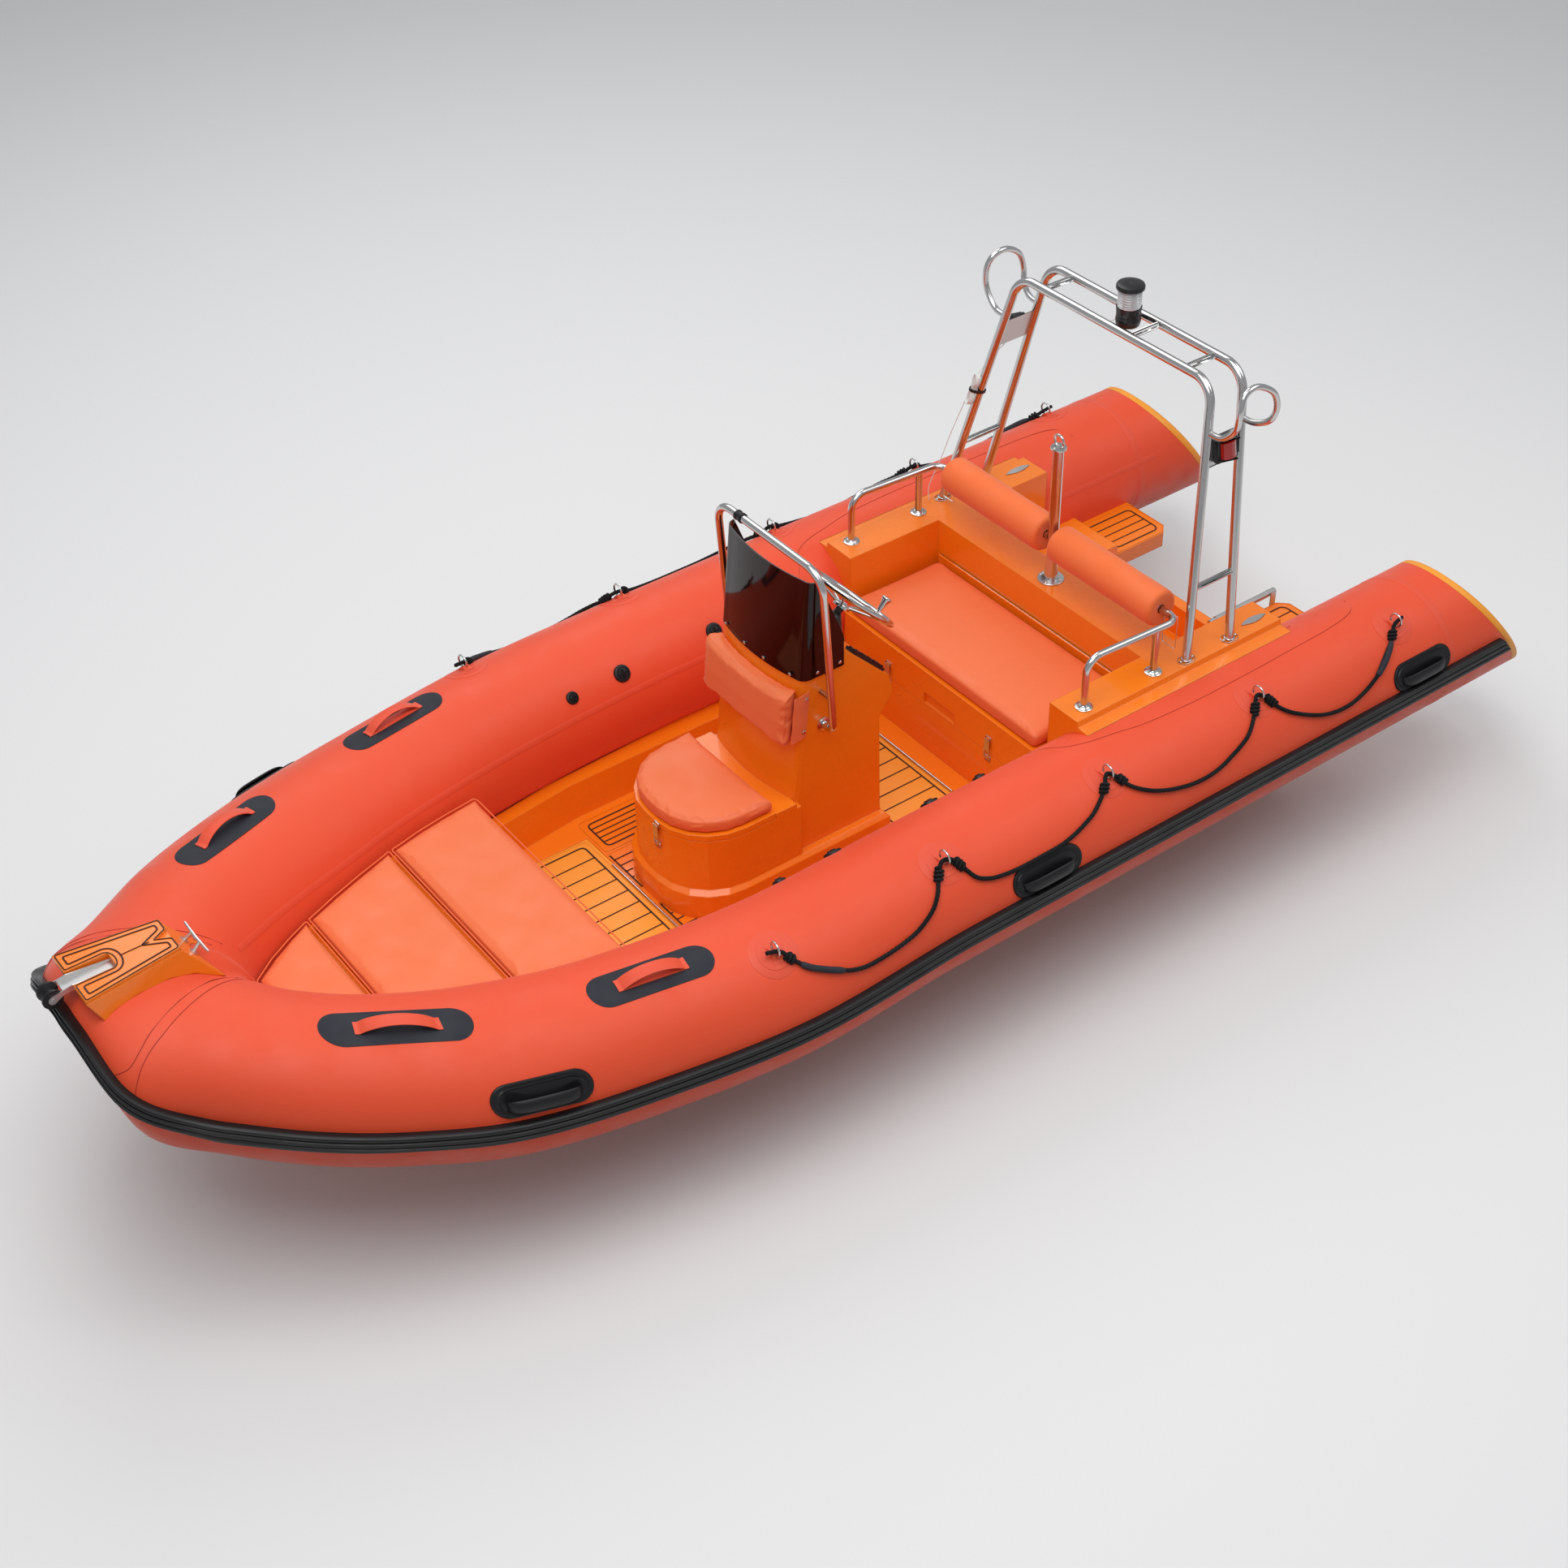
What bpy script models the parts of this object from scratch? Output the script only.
"""Rigid inflatable boat, 5 m: laminate hull and deck in an inflated collar, console, bench and roll bar.

Metres, +Z up. +X points aft, +Y to starboard. The origin is on the ground under the middle of the boat,
which stands on its keel pad. Places are measured from the middle, the bow end or the stern end.
"""
import math

import bmesh
import bpy
from mathutils import Matrix, Vector

# Clearances and shared sizes
SEAT_GAP = 0.0003
COLLAR_GAP = 0.0006
CUT_OVERRUN = 0.05
SINK = 0.004
SHARP_ANGLE = math.radians(35)

# Overall boat
LENGTH_OVERALL = 5.018
TUBE_RADIUS = 0.2387
TUBE_OFFSET_Y = 0.757
TUBE_AXIS_Z = 0.560
TIP_OVERHANG = 0.105
HALF_LENGTH = LENGTH_OVERALL / 2
STERN_X = HALF_LENGTH - TIP_OVERHANG
BOW_X = -HALF_LENGTH

# Inflated collar. The outline table runs from the nose to the straight part. Each row holds the share of
# the bow's length and of the half width on the outer and the inner side, then the shares of the rise, the
# fullness, the strake's turn towards the top, and the lean of the section outwards.
BOW_CURVE_LENGTH = 2.328
BOW_RISE = 0.184
NOSE_SETBACK = 0.0685
COLLAR_SIDES = 24
COLLAR_STEPS = (2, 2, 2, 2, 2, 2, 2, 1, 1)
STRAKE_LOW_ANGLE = math.radians(-1.6)
NOSE_X = BOW_X + NOSE_SETBACK
STRAIGHT_X = NOSE_X + BOW_CURVE_LENGTH
OUTER_HALF = TUBE_OFFSET_Y + TUBE_RADIUS
INNER_HALF = TUBE_OFFSET_Y - TUBE_RADIUS
FULLNESS_ROUND = 2.0
FULLNESS_EXTRA = 0.8
BOW_LEAN = 0.8
COLLAR_SHARES = (
    (0.0071, 0.000, 0.2167, 0.0000, 0.95, 1.00, 0.62, 0.50),
    (0.0060, 0.084, 0.2199, 0.0195, 0.88, 0.84, 0.62, 0.50),
    (0.0085, 0.286, 0.2177, 0.0451, 0.70, 0.20, 0.34, 0.30),
    (0.0723, 0.405, 0.2248, 0.1235, 0.54, 0.30, 0.02, 0.13),
    (0.1688, 0.595, 0.2556, 0.2510, 0.37, 0.10, 0.00, 0.05),
    (0.2640, 0.728, 0.3220, 0.4310, 0.19, 0.00, 0.00, 0.03),
    (0.3814, 0.847, 0.4200, 0.6250, 0.01, 0.00, 0.00, 0.00),
    (0.5334, 0.928, 0.5610, 0.8270, -0.08, 0.00, 0.00, 0.00),
    (0.7553, 1.005, 0.7740, 0.9720, -0.09, 0.00, 0.00, 0.00),
    (1.0000, 1.000, 1.0000, 1.0000, 0.00, 0.00, 0.00, 0.00),
)
TUBE_END_RAKE = 0.72
CAP_RIM = 0.030
CAP_BULGE = 0.020
CAP_INSET_SHARES = ((0.86, 0.70),)
TUBE_END_X = HALF_LENGTH - CAP_RIM - TUBE_END_RAKE * TUBE_RADIUS

# Rub strake
STRAKE_DEPTH = 0.028
STRAKE_SPAN = math.radians(12.86)
STRAKE_NOSE_TURN = math.radians(57.5)
STRAKE_END_SETBACK = 0.014
STRAKE_PROFILE_SHARES = (
    (0.00, 0.50), (0.10, 0.95), (0.27, 1.00), (0.36, 0.70), (0.45, 1.00), (0.55, 1.00),
    (0.64, 0.70), (0.73, 1.00), (0.90, 0.95), (1.00, 0.50),
)

# Fittings glued to the collar. Places are the distance ahead of the stern end and the angle round the tube.
RING_SETBACKS = (0.569, 1.210, 1.858, 2.507, 3.112)
RING_ANGLE = math.radians(64.5)
RING_RADIUS = 0.0230
RING_BAR = 0.0032
RING_TURNS = 8
RING_BAR_SIDES = 4
WEB_WIDTH = 0.022
WEB_HEIGHT = 0.010
HANDLE_PLACES = ((0.530, math.radians(22)), (2.190, math.radians(22)), (3.850, math.radians(26)))
HANDLE_LENGTH = 0.270
HANDLE_HEIGHT = 0.086
HANDLE_PAD = 0.010
HANDLE_CUP = 0.030
HANDLE_CUP_SHARE = 0.72
HANDLE_SLOT_SHARES = (0.44, 0.30)
STRAP_PLACES = ((3.454, math.radians(81.2)), (4.132, math.radians(83.1)))
STRAP_LENGTH = 0.215
STRAP_WIDTH = 0.042
STRAP_THICKNESS = 0.004
STRAP_ARCH = 0.034
STRAP_STEPS = 6
VALVE_PLACES = ((2.120, 0.022), (2.320, 0.030), (2.700, 0.030), (2.904, 0.022))
VALVE_ANGLE = math.radians(140)
VALVE_HEIGHT = 0.008
VALVE_CAP_SHARE = 0.7
VALVE_SIDES = 9

# Hull. Each row holds the share of the hull's length from the stem, the share of the half width, and the
# heights of keel, chine and deck joint as shares of the joint's height aft.
TRANSOM_SETBACK = 0.7225
STEM_SETBACK = 0.368
HULL_HALF = 0.600
JOINT_Z = 0.262
KEEL_PAD_HALF = 0.062
KEEL_PAD_SHARE = 0.9
HULL_SKIN = 0.014
HULL_BOTTOM = 0.022
TRANSOM_THICK = 0.044
SPRAY_RAIL = 0.022
SPRAY_RAIL_SHARE = 0.1
CAVITY_START_SHARE = 0.16
TRANSOM_X = STERN_X - TRANSOM_SETBACK
STEM_X = NOSE_X + STEM_SETBACK
HULL_LENGTH = TRANSOM_X - STEM_X
HULL_SHARES = (
    (0.0000, 0.03, 1.80, 1.89, 1.965),
    (0.0373, 0.22, 1.30, 1.68, 1.81),
    (0.1119, 0.50, 0.65, 1.35, 1.46),
    (0.2083, 0.77, 0.23, 1.07, 1.18),
    (0.3015, 0.92, 0.06, 0.93, 1.00),
    (0.4580, 1.00, 0.00, 0.90, 1.00),
    (1.0000, 1.00, 0.00, 0.88, 1.00),
)

# Deck moulding
FLOOR_THICK = 0.032
COAMING_TOP_Z = 0.425
LOCKER_AFT_SETBACK = 1.568
LOCKER_TOP_AFT_Z = 0.552
LOCKER_TOP_FORE_Z = 0.592
COCKPIT_HALF_AFT = 0.470
COCKPIT_HALF_FORE = 0.425
COCKPIT_DRAFT = 0.018
FLOOR_Z = JOINT_Z + FLOOR_THICK
LOCKER_X = BOW_X + LOCKER_AFT_SETBACK

# Floor hatches, hinged at their after edges
HATCH_LENGTH = 0.290
HATCH_HALF = 0.360
HATCH_THICK = 0.016
HATCH_CLEAR = 0.0015
HATCH_LEDGE = 0.016
HATCH_FORE_AFT_EDGE = -0.6005
HATCH_AFT_FROM_BENCH = 0.075
HINGE_BAR = 0.004
HINGE_HALF = 0.195

# Bow cushions, laid on the bow locker
CUSHION_GAP = 0.006
CUSHION_THICK = 0.046
CUSHION_CROWN = 0.005
CUSHION_SIDE_SHARES = ((0.975, 0.0), (0.995, 0.16), (1.0, 0.5), (0.992, 0.84), (0.965, 0.985))
CUSHION_CROWN_SHARES = ((0.80, 0.55), (0.45, 0.95), (0.15, 1.0))
CUSHION_SIDE_CLEAR = 0.008
BOW_CUSHION_SETBACKS = (0.614, 0.862, 1.220, 1.572)
BOW_CUSHION_STEPS = 3

# Bow step, bracket, roller and cleat
STEP_TOP_Z = 1.013
STEP_FRONT_SETBACK = 0.088
STEP_LENGTH = 0.293
STEP_FRONT_HALF = 0.1122
STEP_REAR_HALF = 0.071
STEP_FLARE = 0.0235
STEP_REAR_FLARE = 0.017
STEP_FRONT_RUN = 0.072
STEP_APRON_RUN = 0.103
STEP_DROP = 0.163
STEP_RIM = 0.010
STEP_RIM_LIP = 0.002
NOTCH_DEPTH = 0.041
NOTCH_HALF = 0.021
SLOT_LENGTH = 0.125
SLOT_HALF = 0.031
SLOT_DEPTH = 0.022
BRACKET_HALF = 0.026
BRACKET_PLATE = 0.003
ROLLER_FLANGE = 0.030
ROLLER_CORE = 0.017
ROLLER_PIN = 0.005
ROLLER_CLEAR = 0.0006
ROLLER_DROP = 0.026
CHEEK_RADIUS = 0.014
CHEEK_STEPS = 6
ROLLER_FLARE_SHARES = (0.7, 0.25)
ROLLER_SIDES = 24
CLEAT_SLOPE_SHARE = 0.415
CLEAT_HALF = 0.075
CLEAT_BAR = 0.006
CLEAT_TIP = 0.0035
CLEAT_LEG_OFFSET = 0.030
CLEAT_LEG_TOP_OFFSET = 0.024
CLEAT_LEG = 0.006
CLEAT_HEIGHT = 0.030
CLEAT_FOOT = 0.013
CLEAT_FOOT_THICK = 0.004

# Console, placed from the middle of the boat
SEAT_FRONT_X = -0.5725
SEAT_REAR_X = -0.2535
SEAT_HALF = 0.234
SEAT_CORNER = 0.205
SEAT_CORNER_SHARE = 0.95
SEAT_CORNER_STEPS = 5
SEAT_BODY_TOP_Z = 0.600
SEAT_SHELF_Z = 0.618
SEAT_WALL = 0.022
LID_THICK = 0.022
LID_REAR_GAP = 0.001
SEAT_CUSHION_THICK = 0.049
PLINTH_TOP_Z = 0.400
PLINTH_STEP = 0.014
CONSOLE_HALF = 0.2135
CONSOLE_WALL_X = -0.1765
CONSOLE_FACE_X = -0.1295
CONSOLE_FACE_Z = 1.058
CONSOLE_BULGE = 0.022
CONSOLE_CORNER = 0.030
CONSOLE_TOP_Z = 1.116
HELM_TOP_X = 0.0345
HELM_LOW_X = 0.2095
HELM_LOW_Z = 0.937
CONSOLE_KNEE_X = 0.2285
CONSOLE_KNEE_Z = 0.864
CONSOLE_TUCK_X = 0.1725
CONSOLE_TUCK_Z = 0.785
CONSOLE_REAR_X = 0.1805

# Screen, rail and backrest on the console
SCREEN_THICK = 0.004
SCREEN_LOW_Z = 1.062
SCREEN_TOP_Z = 1.408
SCREEN_WING_Z = 1.173
SCREEN_WING_X = 0.0295
SCREEN_STEPS = 4
RAIL_TUBE = 0.0127
RAIL_CLEAR = 0.0535
RAIL_HALF = CONSOLE_HALF + RAIL_CLEAR
RAIL_LOW_X = -0.0495
RAIL_LOW_Z = 0.868
RAIL_TOP_X = -0.0880
RAIL_TOP_Z = 1.465
RAIL_BEND = 0.075
RAIL_HOOK_BEND = 0.030
STANDOFF_Z = 0.998
STANDOFF_TUBE = 0.008
RING_FITTING_Y = 0.143
RING_FITTING_HALF = 0.016
RING_FITTING_SWELL = 0.004
BACKREST_LOW_Z = 0.840
BACKREST_TOP_Z = 1.031
BACKREST_OVERHANG = 0.0075
BACKREST_HALF = CONSOLE_HALF + BACKREST_OVERHANG
BACKREST_THICK = 0.052
BACKREST_THICK_SHARES = (0.72, 1.0, 1.06, 1.0, 0.72)
BACKREST_REACH_SHARE = 0.12
BACKREST_FRONT_SHARES = ((0.9, 1.0), (0.35, 0.8), (0.0, 0.0))
TUBE_SIDES = 10
BEND_STEPS = 3

# Wheel and helm, in a frame whose Z leaves the helm panel
HELM_BEZEL = 0.070
HELM_BEZEL_THICK = 0.022
BEZEL_EDGE_SHARE = 0.4
BEZEL_TOP_SHARE = 0.6
BEZEL_SIDES = 20
HUB_PROFILE_SHARES = ((1.0, 0.0), (1.0, 0.6), (0.5, 1.0))
HUB_SIDES = 12
SPOKE_SIDES = 6
HELM_SHAFT = 0.013
WHEEL_STANDOFF = 0.088
WHEEL_RADIUS = 0.162
WHEEL_RIM = 0.010
WHEEL_DISH = 0.045
WHEEL_HUB = 0.030
WHEEL_HUB_THICK = 0.018
WHEEL_SPOKES = 5
WHEEL_SPOKE = 0.0045
WHEEL_SPOKE_ROOT_SHARE = 0.55
WHEEL_TURNS = 24
WHEEL_RIM_SIDES = 6
KNOB_STUD = 0.005
KNOB_STUD_LENGTH = 0.012
KNOB_ANGLE = math.radians(-100)
KNOB_PROFILE_SHARES = ((0.45, 0.0), (0.50, 0.15), (0.60, 0.50), (1.0, 0.85), (1.0, 0.95), (0.7, 1.0))
KNOB_RADIUS = 0.017
KNOB_LENGTH = 0.046

# Switch strip on the helm panel
SWITCH_COUNT = 5
SWITCH_PITCH = 0.034
SWITCH_WIDTH = 0.023
SWITCH_LENGTH = 0.030
SWITCH_PROUD = 0.005
SWITCH_END_SHARE = 0.4
SWITCH_DISH_SHARE = 0.55
SWITCH_SUNK = 0.003
SWITCH_CLEAR = 0.0016
SWITCH_SIDE_CLEAR = 0.0006
STRIP_EDGE = 0.004
STRIP_THICK = 0.010
STRIP_SLOPE_SHARE = 0.56
STRIP_SIDE_MARGIN = 0.006

# Toggle latches
LATCH_HALF = 0.012
LATCH_LEVER = 0.046
LATCH_LOOP = 0.030
LATCH_THICK = 0.003
LATCH_PROUD = 0.006
LATCH_EAR = 0.004
LATCH_BASE_GAP = 0.0008
LATCH_ABOVE_SEAM = 0.061
SEAT_LATCH_DROP = 0.009
CATCH_THICK = 0.0025
SEAT_LATCH_Y = -0.040

# Stern moulding: bench box, back ledge, quarters, stern deck and engine well
BENCH_FRONT_SETBACK = 1.818
BENCH_WALL_SETBACK = 1.3865
LEDGE_AFT_SETBACK = 1.2395
QUARTER_FRONT_SETBACK = 1.7805
QUARTER_AFT_SETBACK = 0.8785
QUARTER_TOP_Z = 0.814
QUARTER_INNER = 0.515
QUARTER_OUTER = 0.644
QUARTER_FLANGE = 0.066
QUARTER_FLANGE_DROP = 0.020
BENCH_TOP_Z = 0.600
BENCH_SEAM_Z = 0.475
BENCH_WALL = 0.028
BENCH_FLOOR = 0.026
SKIRT_THICK = 0.0145
STERN_DECK_Z = 0.553
WELL_HALF = 0.285
WELL_FRONT_SETBACK = 1.130
WELL_FLOOR_Z = 0.380
TRANSOM_TOP_Z = 0.500
FIT_CLEAR = 0.0008
BENCH_X = STERN_X - BENCH_FRONT_SETBACK
BENCH_WALL_X = STERN_X - BENCH_WALL_SETBACK
LEDGE_AFT_X = STERN_X - LEDGE_AFT_SETBACK

# Bench lid and cushion
LID_HALF = 0.498
BENCH_LID_THICK = 0.016
BENCH_LID_WALL_GAP = 0.006
FLANGE_THICK = 0.005
BENCH_CUSHION_THICK = 0.060
PULL_SHARES = (-0.10, 0.06)
PULL_HEIGHT = 0.040
PULL_ABOVE_SEAM = 0.012
PULL_DEPTH = 0.008
LATCH_PORT_Y = -0.276
LATCH_STBD_Y = 0.252

# Swim platforms
PLATFORM_TOP_Z = 0.511
PLATFORM_THICK = 0.060
PLATFORM_LENGTH = 0.272
PLATFORM_INNER = 0.287
PLATFORM_CORNER = 0.035
POLE_PIN_INSET = 0.0525

# Folding stern pole with its telescopic end
POLE_TUBE = 0.0125
POLE_INNER_TUBE = 0.0095
POLE_Z = 0.552
POLE_OFFSET = 0.0185
POLE_LENGTH = 0.290
POLE_PIN = 0.004
POLE_PIN_SHARE = 0.93
POLE_SLIDE_SHOWN = 0.030
POLE_SLIDE_INSIDE = 0.235
POLE_BORE_CLEAR = 0.0006
POLE_BRACKET_PLATE = 0.004

# Pull-up stern cleats
POP_LENGTH = 0.112
POP_WIDTH = 0.028
POP_THICK = 0.009
POP_PROUD = 0.003
POP_CLEAR = 0.0008
POP_STEM = 0.0045
POP_STEM_LENGTH = 0.046
POP_STEM_SPACING = 0.034
POP_SETBACK = 0.953
POP_Y = 0.592
POP_STEPS = 6
POP_STEM_CLEAR = 0.0006
POP_STEM_SIDES = 8

# Quarter rails, bolsters and tow post
POST_SETBACK = 1.3195
POST_RADIUS = 0.019
POST_FLANGE = 0.038
POST_TOP_FLANGE = 0.027
POST_FLANGE_THICK = 0.004
POST_HEIGHT = 0.514
POST_TOP_Z = QUARTER_TOP_Z + POST_HEIGHT
POST_EYE = 0.021
POST_EYE_BAR = 0.0045
QUARTER_RAIL = 0.0125
QUARTER_RAIL_Y = 0.598
QUARTER_RAIL_FRONT_SETBACK = 1.7115
QUARTER_RAIL_LEG_SETBACK = 1.4115
QUARTER_RAIL_RISE = 0.184
QUARTER_RAIL_TOP_Z = QUARTER_TOP_Z + QUARTER_RAIL_RISE
QUARTER_RAIL_DROP = 0.020
QUARTER_RAIL_AFT_Z = QUARTER_RAIL_TOP_Z - QUARTER_RAIL_DROP
QUARTER_RAIL_BEND = 0.055
QUARTER_RAIL_TURN = 0.045
FOOT_RADIUS = 0.029
FOOT_THICK = 0.004
BOLSTER_RADIUS = 0.065
BOLSTER_END_SHARE = 0.93
BOLSTER_BEVEL_SHARE = 0.15
BOLSTER_LENGTH = 0.492
BOLSTER_POST_GAP = 0.012
BOLSTER_BORE_CLEAR = 0.0014
BOLSTER_SIDES = 20
CORNER_PLATE_LENGTH = 0.060
CORNER_PLATE_INSET = 0.041
CORNER_PLATE_RISE = 0.036
CORNER_PLATE_LOW_Z = QUARTER_TOP_Z + CORNER_PLATE_RISE
CORNER_PLATE_THICK = 0.003

# Roll bar
BAR_TUBE = 0.0155
BAR_RUNG = 0.0105
BAR_LOOP = 0.0105
BAR_FOOT_Y = 0.6185
BAR_TOP_Y = 0.450
BAR_HEIGHT = 0.8885
BAR_TOP_Z = QUARTER_TOP_Z + BAR_HEIGHT
BAR_BEND = 0.088
BAR_FRONT_SETBACK = 1.2835
BAR_REAR_SETBACK = 1.090
BAR_FRONT_LEAN = 0.166
BAR_REAR_LEAN = 0.1085
BAR_RUNG_RISE = 0.236
BAR_RUNG_Z = QUARTER_TOP_Z + BAR_RUNG_RISE
BAR_TOP_RUNG_PLACES = (-0.330, -0.078, 0.330)
BAR_PLATE_RISE = 0.666
BAR_PLATE_Z = QUARTER_TOP_Z + BAR_PLATE_RISE
BAR_PLATE_HEIGHT = 0.095
BAR_PLATE_THICK = 0.003
BAR_FOOT_HALF = 0.030
BAR_FOOT_WIDTH = 0.0403
# Route of the side loop: shares of the way from front leg to rear leg, of its reach outwards and its rise.
BAR_LOOP_RISE_START = 0.736
BAR_LOOP_START_Z = QUARTER_TOP_Z + BAR_LOOP_RISE_START
BAR_LOOP_OUT = 0.115
BAR_LOOP_RISE = 0.180
BAR_LOOP_ROUTE_SHARES = (
    (0.00, 0.00, 0.00), (0.03, 0.52, 0.03), (0.05, 0.94, 0.31), (0.06, 1.02, 0.66), (0.20, 0.95, 0.94),
    (0.58, 0.93, 1.00), (1.03, 1.00, 0.78), (1.20, 1.00, 0.44), (1.15, 0.87, 0.16), (1.05, 0.48, 0.02),
    (1.00, 0.00, 0.00),
)
BAR_LOOP_POINTS = 18
BAR_LOOP_SIDES = 6
RUNG_SIDES = 8

# Lamps
MAST_PLATE_HALF = 0.050
MAST_PLATE_DROP = 0.010
MAST_BASE = 0.042
MAST_BASE_HEIGHT = 0.066
MAST_LENS = 0.040
MAST_LENS_HEIGHT = 0.062
MAST_CAP = 0.047
MAST_CAP_HEIGHT = 0.020
MAST_CAP_LAP = 0.001
MAST_BASE_SHARES = ((0.9, 0.0), (1.0, 0.3), (0.85, 0.8), (1.0, 1.0))
MAST_LENS_SHARES = ((1.0, 0.0), (1.0, 0.45), (0.7, 0.55), (0.7, 1.0))
MAST_CAP_SHARES = ((1.0, 0.0), (1.0, 0.5), (0.8, 0.9), (0.4, 1.0))
SIDE_LENS_STEPS = 6
MAST_STEPS = 14
SIDE_LAMP_LENGTH = 0.085
SIDE_LAMP_HEIGHT = 0.075
SIDE_LAMP_DEPTH = 0.020
SIDE_LENS_DEPTH = 0.020
SIDE_LENS_SHARE = 0.72

# Grab lines. Each swag between two rings is a row of places: the distance ahead of the stern end and the
# angle round the collar in degrees.
LINE_RADIUS = 0.007
LINE_LIFT = 0.0024
LINE_TAIL = 0.030
LINE_POINTS = 66
LINE_SWAGS = (
    ((0.600, 57.5), (0.640, 49.0), (0.699, 39.0), (0.779, 30.3), (0.875, 24.6), (0.974, 25.9), (1.063, 33.3),
     (1.145, 45.0), (1.178, 56.5)),
    ((1.242, 56.5), (1.310, 42.0), (1.396, 34.0), (1.487, 28.6), (1.593, 28.9), (1.713, 36.0), (1.795, 47.0),
     (1.826, 57.0)),
    ((1.890, 56.5), (1.958, 45.5), (2.023, 39.8), (2.105, 35.4), (2.200, 34.6), (2.300, 34.8), (2.386, 37.5),
     (2.440, 44.0), (2.470, 57.5)),
    ((2.543, 57.5), (2.592, 42.0), (2.658, 32.8), (2.718, 29.2), (2.808, 27.7), (2.893, 29.0), (2.965, 36.2),
     (3.040, 46.5), (3.080, 57.0)),
)

# Wire of the starboard lamp: a run from the lamp, a tied hank on the front leg, and a run to the moulding.
# The hank's loops are drawn in at the waist and lie one behind the other, away from the leg.
WIRE_RADIUS = 0.0018
WIRE_LEG_GAP = 0.0016
WIRE_OUT = (-0.90, 0.44, 0.0)
WIRE_UPPER_POINTS = 13
WIRE_LOWER_POINTS = 24
WIRE_FOOT_OUT = 0.052
WIRE_LAMP_GAP = 0.0018
WIRE_BEND_SHARE = 0.62
WIRE_FALL_SHARES = (0.35, 0.70)
HANK_LOOPS = 3.5
HANK_LOOP_POINTS = 24
HANK_HALF_HEIGHT = 0.058
HANK_HALF_WIDTH = 0.030
HANK_WAIST = 0.006
HANK_PITCH = 0.0046
HANK_MIDDLE_Z = 1.262
HANK_STUB = 0.0045
WIRE_MM = 0.001

MATERIALS = {
    "collar_fabric": ((0.80, 0.10, 0.055), 0.55, 0.0),
    "gelcoat": ((0.90, 0.20, 0.015), 0.18, 0.0),
    "gelcoat_tread": ((0.93, 0.36, 0.06), 0.35, 0.0),
    "vinyl": ((0.90, 0.20, 0.07), 0.6, 0.0),
    "foam": ((0.90, 0.22, 0.07), 0.8, 0.0),
    "rubber": ((0.02, 0.02, 0.022), 0.6, 0.0),
    "black_plastic": ((0.015, 0.015, 0.015), 0.35, 0.0),
    "stainless": ((0.75, 0.75, 0.76), 0.12, 1.0),
    "smoked_acrylic": ((0.03, 0.008, 0.008), 0.05, 0.0),
    "clear_lens": ((0.85, 0.85, 0.85), 0.05, 0.0),
    "red_lens": ((0.55, 0.02, 0.02), 0.1, 0.0),
    "green_lens": ((0.02, 0.35, 0.10), 0.1, 0.0),
    "rope": ((0.012, 0.012, 0.012), 0.85, 0.0),
    "wire": ((0.85, 0.84, 0.82), 0.4, 0.0),
}


def clear_scene():
    """Remove every object of the start-up scene."""
    for item in list(bpy.data.objects):
        bpy.data.objects.remove(item, do_unlink=True)


def material(name):
    """Return the named material, made on first use."""
    found = bpy.data.materials.get(name)
    if found:
        return found
    colour, roughness, metallic = MATERIALS[name]
    made = bpy.data.materials.new(name)
    made.use_nodes = True
    shader = made.node_tree.nodes["Principled BSDF"]
    shader.inputs["Base Color"].default_value = (*colour, 1.0)
    shader.inputs["Roughness"].default_value = roughness
    shader.inputs["Metallic"].default_value = metallic
    return made


def finish(name, shape, material_name):
    """Turn a bmesh into a named, smooth-shaded object with its material."""
    bmesh.ops.recalc_face_normals(shape, faces=shape.faces)
    mesh = bpy.data.meshes.new(name)
    shape.to_mesh(mesh)
    shape.free()
    mesh.materials.append(material(material_name))
    mesh.shade_smooth()
    mesh.set_sharp_from_angle(angle=SHARP_ANGLE)
    made = bpy.data.objects.new(name, mesh)
    bpy.context.scene.collection.objects.link(made)
    return made


def loft(name, rings, material_name, flat_triangles=False):
    """Skin closed rings of equal point counts, one after the other, and cap both ends."""
    shape = bmesh.new()
    rows = [[shape.verts.new(point) for point in ring] for ring in rings]
    for low, high in zip(rows, rows[1:]):
        for index in range(len(low)):
            after = (index + 1) % len(low)
            shape.faces.new((low[index], low[after], high[after], high[index]))
    shape.faces.new(list(reversed(rows[0])))
    shape.faces.new(rows[-1])
    if flat_triangles:
        bmesh.ops.triangulate(shape, faces=shape.faces[:], quad_method="FIXED")
    return finish(name, shape, material_name)


def box(name, low, high, material_name):
    """Make a box between two corners."""
    ring = [(low[0], low[1]), (high[0], low[1]), (high[0], high[1]), (low[0], high[1])]
    return loft(name, [[(x, y, z) for x, y in ring] for z in (low[2], high[2])], material_name)


def prism_y(name, outline, low, high, material_name):
    """Extrude an outline of (x, z) points between two places along Y."""
    return loft(name, [[(x, y, z) for x, z in outline] for y in (low, high)], material_name)


def prism_x(name, outline, low, high, material_name):
    """Extrude an outline of (y, z) points between two places along X."""
    return loft(name, [[(x, y, z) for y, z in outline] for x in (low, high)], material_name)


def prism_z(name, outline, low, high, material_name):
    """Extrude an outline of (x, y) points between two heights."""
    return loft(name, [[(x, y, z) for x, y in outline] for z in (low, high)], material_name)


def share_profile(shares, radius, height):
    """Profile for a turned piece from shares of its radius and height."""
    return [(radius * share, height * rise) for share, rise in shares]


def circle(centre, across, up, radius, sides):
    """Points of a circle in the plane of two unit directions."""
    angles = [math.tau * (2 * index + 1) / (2 * sides) for index in range(sides)]
    return [centre + across * (radius * math.cos(a)) + up * (radius * math.sin(a)) for a in angles]


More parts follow.
